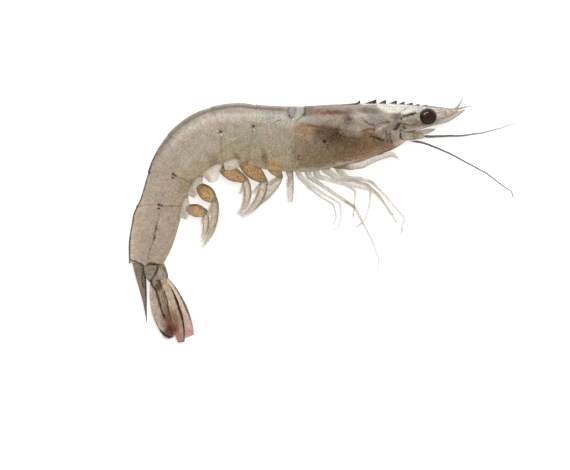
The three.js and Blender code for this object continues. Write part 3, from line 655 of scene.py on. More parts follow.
# Soft patches: middle, radii, colour, strength and lean.
PATCHES = [
    ((0.2, 1.6), (3.8, 3.2), (180, 148, 114), 0.85),
    ((-4.6, 0.6), (2.4, 3.6), (184, 162, 134), 0.4),
    ((-1.5, -3.5), (3.6, 3.6), (152, 134, 108), 0.8),
    ((5.2, -6), (3.4, 2.6), (134, 116, 84), 0.8),
    ((1.2, -6.6), (3, 2.4), (144, 124, 98), 0.8),
    ((9.6, 1.2), (5.4, 3), (92, 68, 52), 0.9, -6),
    ((11.4, 0.4), (2.8, 1.8), (80, 58, 42), 0.8),
    ((15.5, -1.2), (3.4, 2), (100, 78, 54), 0.8),
    ((5.6, 1.8), (2.6, 2.2), (120, 92, 74), 0.7),
    ((3.4, -2.2), (2.6, 2.4), (150, 130, 116), 0.6),
    ((21, -1.6), (3.6, 2), (122, 98, 70), 0.8),
    ((14, -6), (5, 2.2), (120, 97, 74), 0.7),
    ((24, -4.2), (3.2, 1.3), (152, 124, 98), 0.8, 20),
    ((10, -8.6), (7, 1.2), (150, 132, 110), 0.7),
    ((21.4, 2.2), (1.9, 1), (172, 134, 96), 0.7),
    ((5.4, 8.7), (2.8, 1.2), (146, 102, 66), 0.85),
    ((9.6, 8.6), (3.4, 1.3), (112, 70, 52), 0.92, -6),
    ((10.1, 8.4), (0.45, 0.4), (104, 60, 62), 0.7),
    ((11, 9.9), (6, 0.6), (186, 160, 146), 0.6),
    ((14, 6.9), (1.8, 2.2), (92, 58, 56), 0.9, 0, 0.85),
    ((6.5, 6.2), (5.5, 1.6), (156, 134, 118), 0.7),
    ((21, 9.1), (3.6, 1.1), (116, 106, 98), 0.85, -8),
    ((24.5, 6.6), (4.5, 1.8), (152, 143, 134), 0.75),
    ((29.5, 7.6), (3.5, 0.9), (180, 170, 145), 0.6),
    ((30.2, 7.0), (2.0, 1.3), (116, 96, 94), 0.85, 10),
    ((36, 6.4), (2.6, 1.5), (164, 152, 134), 0.7),
    ((29, 3), (3.8, 2.2), (140, 125, 112), 0.7),
    ((29.9, 0.8), (1.9, 1.8), (172, 156, 142), 0.8),
    ((28.6, -2.9), (2.2, 1.3), (146, 104, 92), 0.8, 30),
    ((-22.6, -6.4), (1.0, 2.6), (128, 108, 82), 0.7, 22),
    ((-13.4, -6.3), (0.9, 2.6), (118, 97, 72), 0.8, 16),
    ((-10.3, -8.7), (1.9, 1.9), (196, 156, 102), 0.85),
    ((-23.6, -2.6), (3.4, 2.2), (158, 160, 124), 0.5),
    ((-38.5, -6.5), (2.6, 2.6), (184, 186, 162), 0.5),
    ((-39.5, -15.5), (3.0, 2.4), (158, 142, 100), 0.5),
    ((-16.6, 7.6), (2.6, 1.8), (205, 205, 184), 0.6),
    ((-25.5, 6.8), (2.4, 1.6), (206, 192, 186), 0.4),
    ((-31, 3.2), (4, 3), (200, 178, 162), 0.4, 20),
    ((-30.0, -8.0), (1.6, 2.8), (132, 114, 86), 0.6, 24),
    ((-36.6, -14.6), (2.2, 1.8), (140, 124, 97), 0.5),
    ((-1.8, 8.6), (1.6, 2.4), (196, 190, 184), 0.7),
    ((-18, -1), (4.5, 3.4), (152, 152, 122), 0.4),
    ((-23.4, 8.9), (4.6, 0.8), (170, 160, 142), 0.75),
    ((-47.2, -7.6), (3.0, 6.4), (186, 162, 146), 0.5, -28),
    ((31.5, -0.9), (2.6, 1.0), (212, 188, 174), 0.85, 28),
    ((-34, -4), (5, 3), (188, 180, 166), 0.4, 20),
]
# Strokes: places, half width, colour and strength.
STROKES = [
    ([(-3.2, 5.0), (1.6, 4.6), (5.2, 3.4)], 0.4, (150, 112, 80), 0.5),
    ([(0.8, 4.4), (5.0, 3.6), (8.3, 3.1), (11.0, 2.7), (12.6, 1.4)], 0.36, (96, 66, 48), 0.7),
    ([(12.0, 2.2), (14.0, 1.5), (18.2, 1.5), (20.0, 2.3)], 0.7, (136, 126, 104), 0.85),
    ([(18.6, 6.9), (19.8, 5.6), (21.0, 4.8), (22.8, 4.4)], 0.22, (78, 66, 60), 0.85),
    ([(19.0, 2.4), (20.2, 3.0), (22.2, 3.1), (23.4, 2.5)], 0.34, (86, 60, 42), 0.8),
    ([(19.2, 1.2), (20.4, 1.7), (21.6, 1.3), (22.6, 1.9)], 0.2, (92, 66, 46), 0.7),
    ([(23.4, 2.3), (24.8, 3.5), (27.0, 4.6)], 0.26, (226, 214, 198), 0.65),
    ([(22.5, 3.2), (23.9, 4.5), (25.8, 5.4), (27.8, 5.4)], 0.2, (84, 72, 66), 0.7),
    ([(32.5, 4.8), (34.3, 4.5), (36.6, 4.45), (37.6, 4.4)], 0.26, (74, 68, 58), 0.9),
    ([(31.0, 5.0), (32.0, 4.9), (32.8, 4.8)], 0.25, (84, 70, 64), 0.8),
    ([(27.1, 5.5), (27.4, 5.3)], 0.35, (84, 70, 60), 0.85),
    ([(21.4, 0.7), (23.7, 0.1), (26.0, -0.6)], 0.26, (54, 38, 30), 0.95),
    ([(27.8, 1.7), (27.9, 0.0), (28.6, -1.3)], 0.3, (66, 46, 40), 0.9),
    ([(26.6, 0), (27.1, -1.3)], 0.2, (92, 72, 64), 0.7),
    ([(26.7, 2.6), (26.8, 1.0), (27.3, -1.0)], 0.26, (88, 64, 54), 0.75),
    ([(29.4, 2.9), (30.1, 3.7), (30.7, 4.5)], 0.55, (36, 24, 22), 1.0),
    ([(32.3, 4.0), (33.0, 3.1)], 0.36, (48, 38, 36), 0.95),
    ([(31.5, 1.8), (31.3, 0.6), (31.9, 0.0)], 0.32, (44, 40, 44), 0.95),
    ([(32.6, 7.2), (34.0, 7.75), (35.3, 8.1)], 0.44, (34, 24, 20), 1.0),
    ([(35.0, 8.0), (36.4, 8.5)], 0.3, (34, 24, 20), 1.0),
    ([(13.5, -6.8), (19.0, -5.7), (26.0, -3.3)], 0.32, (178, 142, 112), 0.6),
    ([(16.0, -5.3), (22.0, -3.7), (27.0, -2.0)], 0.26, (160, 124, 96), 0.5),
    ([(10.5, -8.3), (14.0, -8.1), (19.0, -7.0), (24.0, -5.5)], 0.6, (198, 180, 166), 0.7),
    ([(20.0, -6.9), (26.5, -4.4), (31.0, -3.0)], 0.24, (104, 74, 58), 0.7),
    ([(-17.2, 2.0), (-18.5, -5.0)], 0.3, (148, 128, 110), 0.5),
    ([(-27.6, 0.8), (-27.6, -7.3)], 0.28, (146, 128, 102), 0.6),
    ([(-43.2, -12.0), (-39.4, -13.6), (-36.4, -15.5)], 0.24, (126, 106, 84), 0.7),
    ([(-47.7, -22.3), (-42.0, -22.1), (-38.9, -22.1)], 0.24, (130, 108, 88), 0.7),
    ([(-5.3, 10.4), (-5.7, 8.9), (-5.3, 7.4)], 0.22, (104, 94, 94), 0.75),
    ([(-3.7, 10.6), (-3.1, 9.4), (-3.4, 8.0), (-4.2, 7.2)], 0.24, (124, 113, 114), 0.7),
    ([(-5.3, 7.5), (-4.7, 6.8), (-4.1, 7.1)], 0.4, (70, 60, 58), 0.85),
    ([(-2.6, 6.2), (-1.2, 7.2), (-0.2, 8.2)], 0.34, (84, 78, 62), 0.8),
    ([(-0.1, 10.9), (-0.1, 7.4)], 0.34, (70, 68, 56), 0.85),
    ([(-47.7, -23.3), (-49.2, -30.3), (-51.4, -37.7), (-52.2, -42.2)], 0.2, (128, 106, 86), 0.6),
    ([(-49.0, -28.6), (-49.3, -30.6)], 0.26, (74, 56, 44), 0.85),
    ([(-50.0, -31.6), (-49.5, -32.2), (-49.8, -33.2)], 0.26, (66, 50, 40), 0.9),
    ([(-51.0, -35.9), (-51.3, -37.3)], 0.2, (90, 72, 58), 0.7),
]
# Small dark spots: middle, radius.
SPOTS = [
    ((6.3, -1.0), 0.62), ((7.4, -2.1), 0.24), ((7.3, -3.0), 0.2), ((5.9, -3.0), 0.16), ((10.2, -3.3), 0.2),
    ((13.1, -2.9), 0.26), ((-5.1, 7.4), 0.3), ((-4.4, 6.9), 0.25), ((-5.6, 8.6), 0.2), ((-4.9, 8.0), 0.2), ((-2.1, -5.8), 0.34), ((-2.2, -6.8), 0.3), ((-4.6, -2.6), 0.24),
    ((-5.4, -3.4), 0.24), ((-3.9, -4.6), 0.22), ((26.2, -2.6), 0.22), ((31.7, 6.5), 0.36), ((31.4, 2.8), 0.3),
    ((-43.4, -11.6), 0.5), ((-43.6, -12.9), 0.4), ((-42.6, -12.2), 0.42),
    ((-48.1, -21.8), 0.5), ((-47.1, -21.9), 0.42), ((-48.2, -22.9), 0.42),
]
STARS = [(-17.0, 3.9), (-27.8, 2.2)]
TAIL_MARGIN = [
    (-58.1, -39.9), (-56.0, -40.4), (-54.1, -41.3), (-52.8, -42.4), (-52.0, -41.7),
    (-51.0, -40.9), (-49.5, -41.1), (-48.4, -41.7), (-47.4, -41.5),
]
ORGAN_BROWN = (126, 104, 78)
TAIL_LOBE = 1.0
HEAD_FOOT = [(-3, -10.5), (2, -10.5), (8, -10.0), (12.5, -9.1)]


def paint_trunk(part, level, drop):
    """Colours the skin. level is 1 at the back and -1 at the flank's lower edge."""
    rows, at = np.array([row[0] for row in TONES], float), part.at
    back, lit_band, side, foot = (
        np.stack([np.interp(at, rows, [linear(row[k])[c] for row in TONES]) for c in range(3)], -1)
        for k in (1, 2, 3, 4)
    )
    tilt = level + 0.12 * uneven(part.points, 4.0, 3)
    # Painted light and shade: the lighter band below the back is painted light, and the darker back is painted shade.
    part.colour = mix(side, lit_band, smooth(tilt, 0.2, 0.5)[:, None])
    part.colour = mix(part.colour, back, smooth(tilt, 0.68, 0.86)[:, None])
    part.colour = mix(part.colour, foot, smooth(-tilt, 0.1, 0.6)[:, None])
    part.wobble(0.5, 2.2, 5)
    inner = part.area(ORGANS, 0.7) * smooth(part.flat[:, 0], -5.0, 0.5)
    part.wash(ORGAN_BROWN, 0.95 * inner).draw(AREAS, PATCHES)
    part.stain((84, 62, 46), 0.32, 0.8, 41, mask=inner).stain((160, 128, 96), 0.3, 0.6, 42, mask=inner)
    part.stain((120, 104, 84), 0.14, 1.1, 43).stain((200, 190, 172), 0.2, 0.9, 44, mask=1 - inner)
    part.stain((58, 40, 30), 0.55, 0.4, 45, 0.05, part.spot((8.5, 1.6), (5.6, 2.4), -6))
    part.stain((88, 80, 76), 0.75, 0.35, 46, 0.12, part.spot((-11.4, 5.8), (3.8, 2.2)))
    part.stain((84, 76, 72), 0.6, 0.35, 47, 0.12, part.spot((-4.6, 8.2), (2.2, 2.4)))
    part.wash((182, 170, 152), 0.75 * part.line(HEAD_FOOT, 0.8, 0.9))
    part.wobble(0.22, 0.7, 9)
    part.draw(strokes=STROKES)
    for centre, radius in SPOTS:
        part.wash((40, 28, 22), 0.95 * part.spot(centre, (radius, 0.85 * radius)))
    for x, y in STARS:
        part.wash((236, 230, 206), 0.7 * part.spot((x, y - 0.95), (0.75, 0.35)))
        for turn in (20, 75, 135):
            part.wash((66, 58, 38), 0.7 * part.spot((x, y), (1.4, 0.19), turn, 0.4))
    part.wash((60, 42, 30), 0.85 * part.line(TAIL_MARGIN, 0.3) * smooth(at, 70, 74))
    rim = level + 0.02 * uneven(part.points, 1.2, 33)
    # A darker band just below the back's outline on the abdomen: painted shade.
    back_shade = smooth(rim, 0.79, 0.86) * (1 - smooth(rim, 0.9, 0.95))
    part.wash((124, 111, 96), 0.8 * back_shade * smooth(at, 5, 9) * (1 - smooth(at, 42, 50)))
    ragged = rim + 0.03 * uneven(part.points, 0.8, 34)
    part.wash((20, 14, 11), 0.93 * smooth(ragged, 0.905, 0.965) * smooth(at, 38, 48))
    part.wash((96, 78, 64), 0.7 * smooth(rim, 0.93, 0.97) * smooth(at, 27, 34) * (1 - smooth(at, 41, 46)))
    part.wash((52, 37, 29), 0.8 * smooth(ragged, 0.965, 1.0) * smooth(-at, 3, 7) * (1 - smooth(-at, 14, 17)))
    part.wash((140, 124, 94), 0.4 * smooth(drop, 0.02, 0.15) * (1 - smooth(drop, 0.3, 0.6)))
    part.wash((255, 244, 228), 0.95 * smooth(drop, 0.3, 0.8) * smooth(at, 19, 25))
    part.wash((214, 202, 182), 0.75 * smooth(drop, 0.3, 0.8) * smooth(at, 38, 42))
    part.clear = 0.6 * smooth(drop, 0.25, 0.9) * smooth(at, 17, 22)
    part.clear += 0.2 * smooth(drop, 1.1, 2.3) * smooth(at, 26, 29)
    busy = smooth(-np.abs(at - 4), -14, -2) * smooth(-level, -0.6, 0.2)
    part.speck = np.clip(0.3 + 0.25 * busy - 0.2 * smooth(level, 0.7, 0.9), 0, 1)
    part.speck = np.maximum(part.speck, part.spot((-11.2, 5.6), (3.6, 2.4)))
    part.speck = part.speck * (1 - smooth(drop, 0.1, 0.5))


def dents(at, turn):
    """Slight unevenness of the shell, and the ridge along the tail's back."""
    place = np.stack([at, 9 * np.sin(turn), 9 * np.cos(turn)], -1).reshape(-1, 3)
    rough = (0.1 * uneven(place, 7.0, 1) + 0.035 * uneven(place, 1.8, 2)).reshape(at.shape)
    off = np.minimum(turn, 2 * np.pi - turn)
    ridge = 0.16 * (1 - smooth(off, 0, 0.16)) * smooth(at, 40, 46)
    return rough + ridge


# Turns at which the trunk's rings have a point, closer together on the side that faces up.
TURN = np.concatenate([
    np.linspace(0, np.pi, 80, endpoint=False),
    np.linspace(np.pi, 2 * np.pi, 210, endpoint=False),
])


def trunk_piece(rows, flap_top, first, last):
    """A closed plate of the trunk. Each row is (places along the axis, proud, share of the flap)."""
    at = np.stack([np.broadcast_to(row[0], TURN.shape) for row in rows])
    proud = np.stack([np.broadcast_to(row[1], TURN.shape) for row in rows])
    flap = flap_top * np.array([row[2] for row in rows])[:, None]
    turn = np.broadcast_to(TURN, at.shape)
    rings, level = trunk_points(at, turn, proud + dents(at, turn), flap)
    ends = [heart(first), heart(last)]
    part = closed(rings, *ends)
    share = np.clip(1 - np.abs(np.pi - turn) / (np.pi / 2), 0, 1)
    drop = flap * smooth(np.minimum(share / FLANK_SHARE, 1), 0.6, 1)
    drop = drop * (share < FLANK_SHARE + 0.05)
    part.at = np.append(at.ravel(), [first, last])
    part.turn = np.append(turn.ravel(), [0, 0])
    part.skin = np.stack([part.at, 9.5 * part.turn, 0 * part.at], -1)
    paint_trunk(part, np.append(level.ravel(), [0, 0]), np.append(drop.ravel(), [0, 0]))
    return part


def heart(at):
    x, y, heading = (float(v) for v in axis_at(at))
    middle = float(trunk_value("top", at) + trunk_value("bottom", at)) / 2
    away = math.radians(heading - 90)
    return x + middle * math.cos(away), y + middle * math.sin(away), float(trunk_value("lift", at))


def lip_rows(edge, proud, flap, inward):
    """Rows that turn a plate's edge over and back inside it. inward is 1 or -1 along the axis."""
    depths = ((-0.07, 0.5, 1), (0.0, 1, 1), (0.5, 1, 0.97), (1.3, 1.15, 0.9), (2.2, 1.5, 0.8))
    return [(edge + inward * depth, proud - sink * PLATE, flap * keep) for depth, sink, keep in depths]


def head_proud(at):
    rear = edge_reach(0, TURN)
    return LIP * smooth((at + HEAD_LENGTH) / (rear + HEAD_LENGTH), 0.35, 1)


def margin_at(turn):
    folded = np.degrees(np.minimum(turn, 2 * np.pi - turn))
    return -np.interp(folded, MARGIN_TURNS, MARGIN_REACH)


def add_head():
    margin, rear = margin_at(TURN), edge_reach(0, TURN)
    rows = lip_rows(margin, head_proud(margin), 0, 1)[::-1]
    for t in np.linspace(0, 1, round(38 / SPACING)):
        at = mix(margin, rear, t)
        rows.append((at, head_proud(at), 0))
    rows += lip_rows(rear, LIP, 0, -1)
    carapace = trunk_piece(rows, 0, -20.0, -2.0)
    carapace.wash((98, 82, 72), 0.4 * (1 - smooth(carapace.at - margin_at(carapace.turn), 0.1, 0.5)))
    add("carapace", [carapace], HEAD, ["head_shell"])
    places = np.linspace(-HEAD_LENGTH, -17, round(22 / SPACING))
    rows = [(np.full(len(TURN), at), head_proud(at) - 0.22, 0) for at in places]
    add("head_core", [trunk_piece(rows, 0, -HEAD_LENGTH - 0.1, -17.0)], HEAD)


def add_shells():
    bulge = 0.74 * math.pi
    for n in range(1, 7):
        front = JOINTS[n] + GAP + edge_reach(n - 1, TURN)
        rear = JOINTS[n + 1] + edge_reach(n, TURN)
        if n == 6:
            rear = rear + TAIL_LOBE * np.exp(-(((TURN - 4.78) / 0.24) ** 2))
        rows = [(front - depth, -0.04, 0) for depth in np.linspace(TUCK, 0, 5, endpoint=False)]
        for t in np.linspace(0, 1, round((JOINTS[n + 1] - JOINTS[n]) / SPACING)):
            proud = LIP * smooth(t, 0.35, 1) - 0.04 * (1 - smooth(t, 0, 0.2))
            rows.append((mix(front, rear, t), proud, math.sin(bulge * t)))
        rows += lip_rows(rear, LIP, math.sin(bulge), -1)
        part = trunk_piece(rows, SHELLS[n]["flap"], JOINTS[n] - TUCK + 0.5, JOINTS[n + 1] - 2.5)
        tail = n == 6
        add(f"shell_{n}", [part], TAIL if tail else SHELL, [f"abdomen_{n}"])


# Crest


def crest_seat(x):
    return mix(ROSTRUM["level"], ROSTRUM["sunk"], smooth(x, *ROSTRUM["sinks"]))


def add_crest():
    top = [ROSTRUM["start"], (10, 11.3)]
    for at, long, high in ROSTRUM["teeth"]:
        seat = float(crest_seat(at))
        low, full = ROSTRUM["bends"].get(at, (0.4, 0.75))
        top += [(at, seat), (at + 0.3 * long, seat + low * high), (at + 0.65 * long, seat + full * high)]
        top += [(at + long, seat + high), (at + 0.95 * long, seat + 0.1)]
    top.append(ROSTRUM["spike"])
    dense = []
    for a, b in zip(top[:-1], top[1:]):
        for u in np.arange(0, 1, 0.2 / max(math.dist(a, b), 0.2)):
            dense.append((mix(a[0], b[0], u), mix(a[1], b[1], u)))
    dense = np.array([*dense, top[-1]])
    foot_x = np.maximum.accumulate(dense[:, 0])
    under = np.array(ROSTRUM["underside"])
    foot = np.stack([foot_x, np.interp(foot_x, under[:, 0], under[:, 1])], -1)
    levels = np.array([0, 0.25, 0.45, 0.55, 0.62, 0.69, 0.76, 0.83, 0.9, 0.95, 1.0])
    widths = ROSTRUM["thick"] / 2 * np.array([1.25, 1, 0.9, 0.85, 0.85, 0.85, 0.8, 0.65, 0.5, 0.32, 0.14])
    fade = (0.25 + 0.75 * (1 - smooth(dense[:, 0], 36, 49.5))) * (0.5 + 0.5 * smooth(dense[:, 0], 6, 9))
    rings = []
    for k in range(len(dense)):
        flat = foot[k] + (dense[k] - foot[k]) * levels[:, None]
        sides = [np.column_stack([flat, HEAD_MIDDLE + sign * widths * fade[k]]) for sign in (1, -1)]
        rings.append(np.concatenate([sides[0], sides[1][::-1]]))
    rings = np.array(rings)
    part = closed(rings, rings[0].mean(0), rings[-1].mean(0))
    height = np.append(np.tile(np.concatenate([levels, levels[::-1]]), len(dense)), [0.5, 0.5])
    x, y = part.points[:, 0], part.points[:, 1]
    part.wobble(0.1, 0.5, 6)
    part.wash((252, 247, 236)).wash((240, 230, 222), smooth(x, 36, 44))
    part.wash((178, 160, 148), 1 - smooth(x, 9, 20))
    part.stain((160, 138, 122), 0.5, 0.4, 51, 0.2, mask=smooth(x, 34, 42))
    toothed = sum(
        smooth(x, at - 0.15, at + 0.15) * (1 - smooth(x, at + long, at + long + 0.15))
        for at, long, high in ROSTRUM["teeth"]
    )
    part.wash((54, 48, 47), 0.97 * toothed * smooth(y - crest_seat(x), -0.16, 0.0))
    part.wash((112, 98, 90), 0.6 * toothed * smooth(x, 32, 37) * smooth(y - crest_seat(x), -0.1, 0.1))
    part.wash((30, 21, 16), 0.97 * smooth(height, 0.7, 0.86) * (1 - smooth(x, 17.4, 18.6)))
    part.wash((92, 74, 68), 0.85 * smooth(height, 0.8, 0.93) * smooth(x, 37, 40))
    part.clear = 0.2 * smooth(x, 30, 40)
    part.speck[:] = 0.3
    add("crest", [part], HEAD)


# Head pieces


def add_eye(side):
    name = SIDES[side]
    centre = np.array((EYE["place"][0] - 0.25, EYE["place"][1], HEAD_MIDDLE + side * EYE["out"]))
    root = np.array((35.6, 6.9, HEAD_MIDDLE + side * 2.1))
    way = unit(centre - root)
    across = unit(np.cross(way, (0, 0, 1)))
    over = np.cross(way, across)
    rows, columns = 40, 56
    polar = np.pi * (np.arange(rows) + 0.5) / rows
    angle = 2 * np.pi * np.arange(columns) / columns
    radius = 1.05 * EYE["radius"] * (1 - 0.03 * np.cos(2 * polar))[:, None, None]
    disc = np.sin(polar)[:, None, None] * (
        np.cos(angle)[None, :, None] * across + np.sin(angle)[None, :, None] * over
    )
    rings = centre + radius * (-np.cos(polar)[:, None, None] * way + disc)
    ball = closed(rings, centre - 1.02 * EYE["radius"] * way, centre + 1.02 * EYE["radius"] * way)
    ball.points[:, 1] = centre[1] + EYE["tall"] * (ball.points[:, 1] - centre[1])
    rim = np.hypot(*((ball.points - centre)[:, :2] / (1, EYE["tall"])).T) / EYE["radius"]
    # The eyeball is its own dark brown, painted near-black towards its rim as painted shade.
    ball.wash((52, 33, 24)).wash((16, 10, 8), smooth(rim, 0.66, 0.95))
    ball.stain((74, 46, 32), 0.7, 0.9, 61, mask=1 - smooth(rim, 0.5, 0.8))
    add(f"eye_ball_{name}", [ball], EYE_WET, [f"eye_{name}"])
    points = [mix(root, centre, t) for t in np.linspace(-0.1, 0.8, 40)]
    girth = [
        lambda t, slim=slim: slim + 0.75 * smooth(t, 0.1, 0.75) + 0.35 * smooth(t, 0.74, 0.95)
        for slim in (1.1, 1.0)
    ]
    stalk = sweep(points, *girth, sides=28)
    stalk.wobble(0.2, 0.8, 4)
    stalk.wash((176, 164, 146)).wash((206, 198, 180), 0.8 * stalk.spot((37.4, 6.9), (2.2, 0.9)))
    stalk.stain((128, 112, 94), 0.5, 0.7, 62).draw(strokes=STROKES)
    stalk.wash((116, 98, 82), 0.5 * smooth(stalk.t, 0.84, 0.94))
    stalk.speck[:] = 0.6
    add(f"eye_stem_{name}", [stalk], HEAD, [f"eye_stalk_{name}"])


def add_small_feeler(side):
    name, form = SIDES[side], SMALL_FEELER
    outs, wides, thicks = form["outs"], form["wides"], form["thicks"]
    points = chain(form["root"], form["arcs"], lambda t: HEAD_MIDDLE + side * mix(*outs, t), 0.3)
    joints = np.cumsum([arc[0] for arc in form["arcs"]])[:-1] / sum(arc[0] for arc in form["arcs"])

    def waist(t):
        return 1 - sum(0.16 * np.exp(-(((t - joint) / 0.025) ** 2)) for joint in joints)

    stem = sweep(
        points,
        lambda t: mix(*wides, t**1.3) * waist(t),
        lambda t: mix(*thicks, t) * waist(t),
        sides=28,
    )
    c = np.cos(stem.angle)
    stem.wobble(0.15, 0.6, 16)
    stem.wash((230, 218, 204)).stain((190, 170, 154), 0.5, 0.6, 52).stain((136, 114, 100), 0.6, 0.4, 53, 0.12)
    stem.wash((170, 148, 134), 0.5 * smooth(c, 0.45, 0.9)).wash((170, 154, 138), 0.5 * smooth(-c, 0.4, 0.9))
    stem.wash((92, 76, 68), 0.75 * smooth(np.abs(c), 0.86, 0.98) * (1 - 0.6 * smooth(stem.t, 0.8, 1)))
    stem.wash((120, 100, 88), 0.5 * smooth(1 - waist(stem.t), 0.05, 0.14))
    stem.speck[:] = 0.7
    stem.clear[:] = 0.08
    start = points[-4]
    parts = [stem]
    for whip_arc in form["whips"]:
        whip = chain(start[:2], [whip_arc], lambda t: start[2] + side * 0.8 * t, 0.2)

        def ringed(t):
            return mix(*form["whip_girths"], t) * (1 + 0.12 * np.cos(90 * t))

        thread = sweep(whip, ringed, ringed, sides=10)
        thread.wash((188, 176, 166)).wash((214, 208, 202), smooth(thread.t, 0.3, 1))
        thread.clear = 0.2 + 0.45 * smooth(thread.t, 0.2, 1)
        parts.append(thread)
    add(f"small_feeler_pair_{name}", parts, HEAD, [f"small_feeler_{name}"])


def fringe(edge, ways, spacing, length, seed, lean=0.35):
    """Bristles of uneven length along an edge, slanting the way it runs."""
    far = np.concatenate([[0], np.cumsum(np.linalg.norm(np.diff(edge, axis=0), axis=1))])
    want = np.arange(0.5 * spacing, far[-1], spacing)
    roots, out = (
        np.stack([np.interp(want, far, values[:, k]) for k in range(3)], -1) for values in (edge, ways)
    )
    rng = np.random.default_rng(seed)
    slant = lean + 0.15 * rng.normal(size=(len(roots), 1))
    lengths = length * (0.75 + 0.5 * rng.random(len(roots)))
    return hairs(roots, unit(out) + slant * unit(np.gradient(roots, axis=0)), lengths)


def add_feeler_scale(side):
    name = SIDES[side]
    root, arc, wide = FEELER_SCALES[name]
    points = chain(root, [arc], lambda t: HEAD_MIDDLE + side * mix(*SCALE_OUTS, t), 0.3)
    flat = np.array(SCALE_FLAT) * (1, 1, side)

    def outline(t):
        return wide * np.sin(np.pi * np.minimum(0.98, 0.16 + 0.84 * t)) ** 0.6

    blade = sweep(points, outline, lambda t: mix(*SCALE_THICKS, t), flat, 32)
    c = np.cos(blade.angle)
    if side == RIGHT:
        near = 1 - smooth(blade.t, 0.42, 0.72)
        blade.points += (0.45 * near * outline(blade.t) * np.maximum(-side * c, 0))[:, None] * SCALE_IN
        blade.points[:, 1] += 0.45 * near
    rib = 0.28 * np.exp(-(((c - 0.72) / 0.16) ** 2)) * (1 - smooth(blade.t, 0.8, 1))
    blade.points += np.sign(np.sin(blade.angle))[:, None] * rib[:, None] * unit(flat)
    blade.wobble(0.15, 0.7, 17)
    blade.wash((208, 198, 183)).wash((184, 170, 152), smooth(c, 0.0, 0.9))
    blade.stain((142, 126, 112), 0.6, 0.6, 54, mask=smooth(c, -0.4, 0.4))
    blade.wash((236, 222, 214), 0.7 * (side == LEFT))
    blade.wash((96, 80, 72), 0.8 * smooth(np.abs(c), 0.9, 0.985))
    blade.wash((170, 156, 138), 0.4 * (1 - smooth(blade.t, 0.1, 0.3)))
    blade.clear = 0.12 + 0.15 * smooth(blade.t, 0.3, 1)
    blade.speck[:] = 0.7
    way = unit(np.gradient(points, axis=0))
    across = unit(np.cross(unit(flat), way))
    edge = points - across * outline(np.linspace(0, 1, len(points)))[:, None]
    keep = slice(int(0.2 * len(points)), len(points) - 1)
    bristles = fringe(edge[keep], -across[keep], 0.22, 0.8, 11)
    bristles.wash((206, 196, 184))
    bristles.clear[:] = 0.55
    add(f"feeler_blade_{name}", [blade, bristles], LEG, [f"feeler_scale_{name}"])


def add_feeler(side):
    name = SIDES[side]
    root, out, fall, thin, arcs = FEELERS[name]
    height = HEAD_MIDDLE + side * out
    points = chain(FEELER_STEM["root"], FEELER_STEM["arcs"], lambda t: height, 0.2)

    def girth(t):
        waist = 0.16 * np.exp(-(((t - 0.56) / 0.04) ** 2))
        return mix(*FEELER_STEM["girths"], t) * (1 + 0.08 * np.cos(4 * np.pi * t) - waist)

    stem = sweep(points, girth, girth, sides=32)
    stem.points += 0.12 * uneven(stem.points, 1.1, 18)[:, None] * unit(stem.points - (34, 1, height))
    stem.wobble(0.25, 0.7, 6)
    c = np.cos(stem.angle)
    stem.wash((188, 176, 154)).wash((168, 166, 136), 0.7 * stem.spot((34.4, 1.5), (1.2, 1.0))).wash((172, 142, 118), 0.5 * stem.spot((37.0, 1.9), (1.3, 0.8)))
    stem.wash((150, 148, 150), 0.8 * stem.spot((32.7, 1.6), (0.8, 1.2)))
    stem.stain((132, 112, 94), 0.7, 0.5, 55, 0.1).stain((212, 202, 182), 0.5, 0.7, 56)
    stem.wash((88, 76, 64), 0.8 * smooth(np.abs(c), 0.8, 0.97))
    stem.wash((96, 84, 72), 0.7 * np.exp(-(((stem.t - 0.56) / 0.05) ** 2)))
    stem.draw(strokes=STROKES)
    stem.speck[:] = 0.8
    knob_centre = np.array((29.6, 1.3, HEAD_MIDDLE + side * 3.9))
    knob_points = [knob_centre + np.array((x, -0.12 * x, 0)) for x in np.linspace(-2.3, 2.4, 26)]
    dome = [
        lambda t, half=half: half * np.sqrt(np.clip(1 - (2 * t - 1) ** 2, 0.02, 1)) for half in (2.55, 2.35)
    ]
    knob = sweep(knob_points, *dome, sides=44)
    knob.wobble(0.25, 0.8, 7)
    knob.wash((172, 156, 144)).wash((156, 138, 128), 0.7 * knob.spot((28.2, 0.4), (1.2, 1.6)))
    knob.stain((120, 104, 94), 0.5, 0.6, 57).stain((186, 172, 158), 0.5, 0.7, 58).draw(strokes=STROKES)
    knob.speck[:] = 0.7
    add(f"feeler_root_{name}", [stem, knob], LEG, [f"feeler_stem_{name}"])
    whip = chain(root, arcs, lambda t: height - fall * math.sin(t * math.pi / 2) ** 1.1, 0.3)
    whip = whip + 0.2 * np.stack([uneven(whip, 3.5, 31 + k) for k in range(3)], -1) * (1, 1, 0.2)
    total = sum(arc[0] for arc in arcs)

    def ringed(t):
        return mix(*thin, t**0.7) * (1 + 0.1 * np.cos(2 * np.pi * total * t / 0.9)) * (0.4 + 0.6 * smooth(t, 0, 0.05))

    thread = sweep(whip, ringed, ringed, sides=10)
    thread.wash((122, 117, 114)).wash((146, 140, 138), 0.8 * smooth(thread.t, 0.2, 0.6))
    thread.stain((92, 86, 84), 0.6, 0.9, 59)
    thread.wash((188, 186, 186), 0.9 * smooth(thread.t, 0.3, 0.9) * (side == LEFT))
    thread.clear = (0.6 if side == LEFT else 0.25) * smooth(thread.t, 0.3, 1)
    add(f"feeler_whip_{name}", [thread], FEELER, [f"feeler_{name}"])


# Legs


def limb_height(side, outs):
    root, knee, tip = outs

    def height(t):
        a, b, u = (root, knee, 2 * t) if t < 0.5 else (knee, tip, 2 * t - 1)
        return HEAD_MIDDLE + side * mix(a, b, float(smooth(u, 0, 1)))

    return height


def rounded(points, reach):
    """The same path with its corners eased."""
    kernel = np.hanning(2 * reach + 3)[1:-1]
    padded = np.concatenate([points[:1].repeat(reach, 0), points, points[-1:].repeat(reach, 0)])
    return np.stack([np.convolve(padded[:, k], kernel / kernel.sum(), "valid") for k in range(3)], -1)


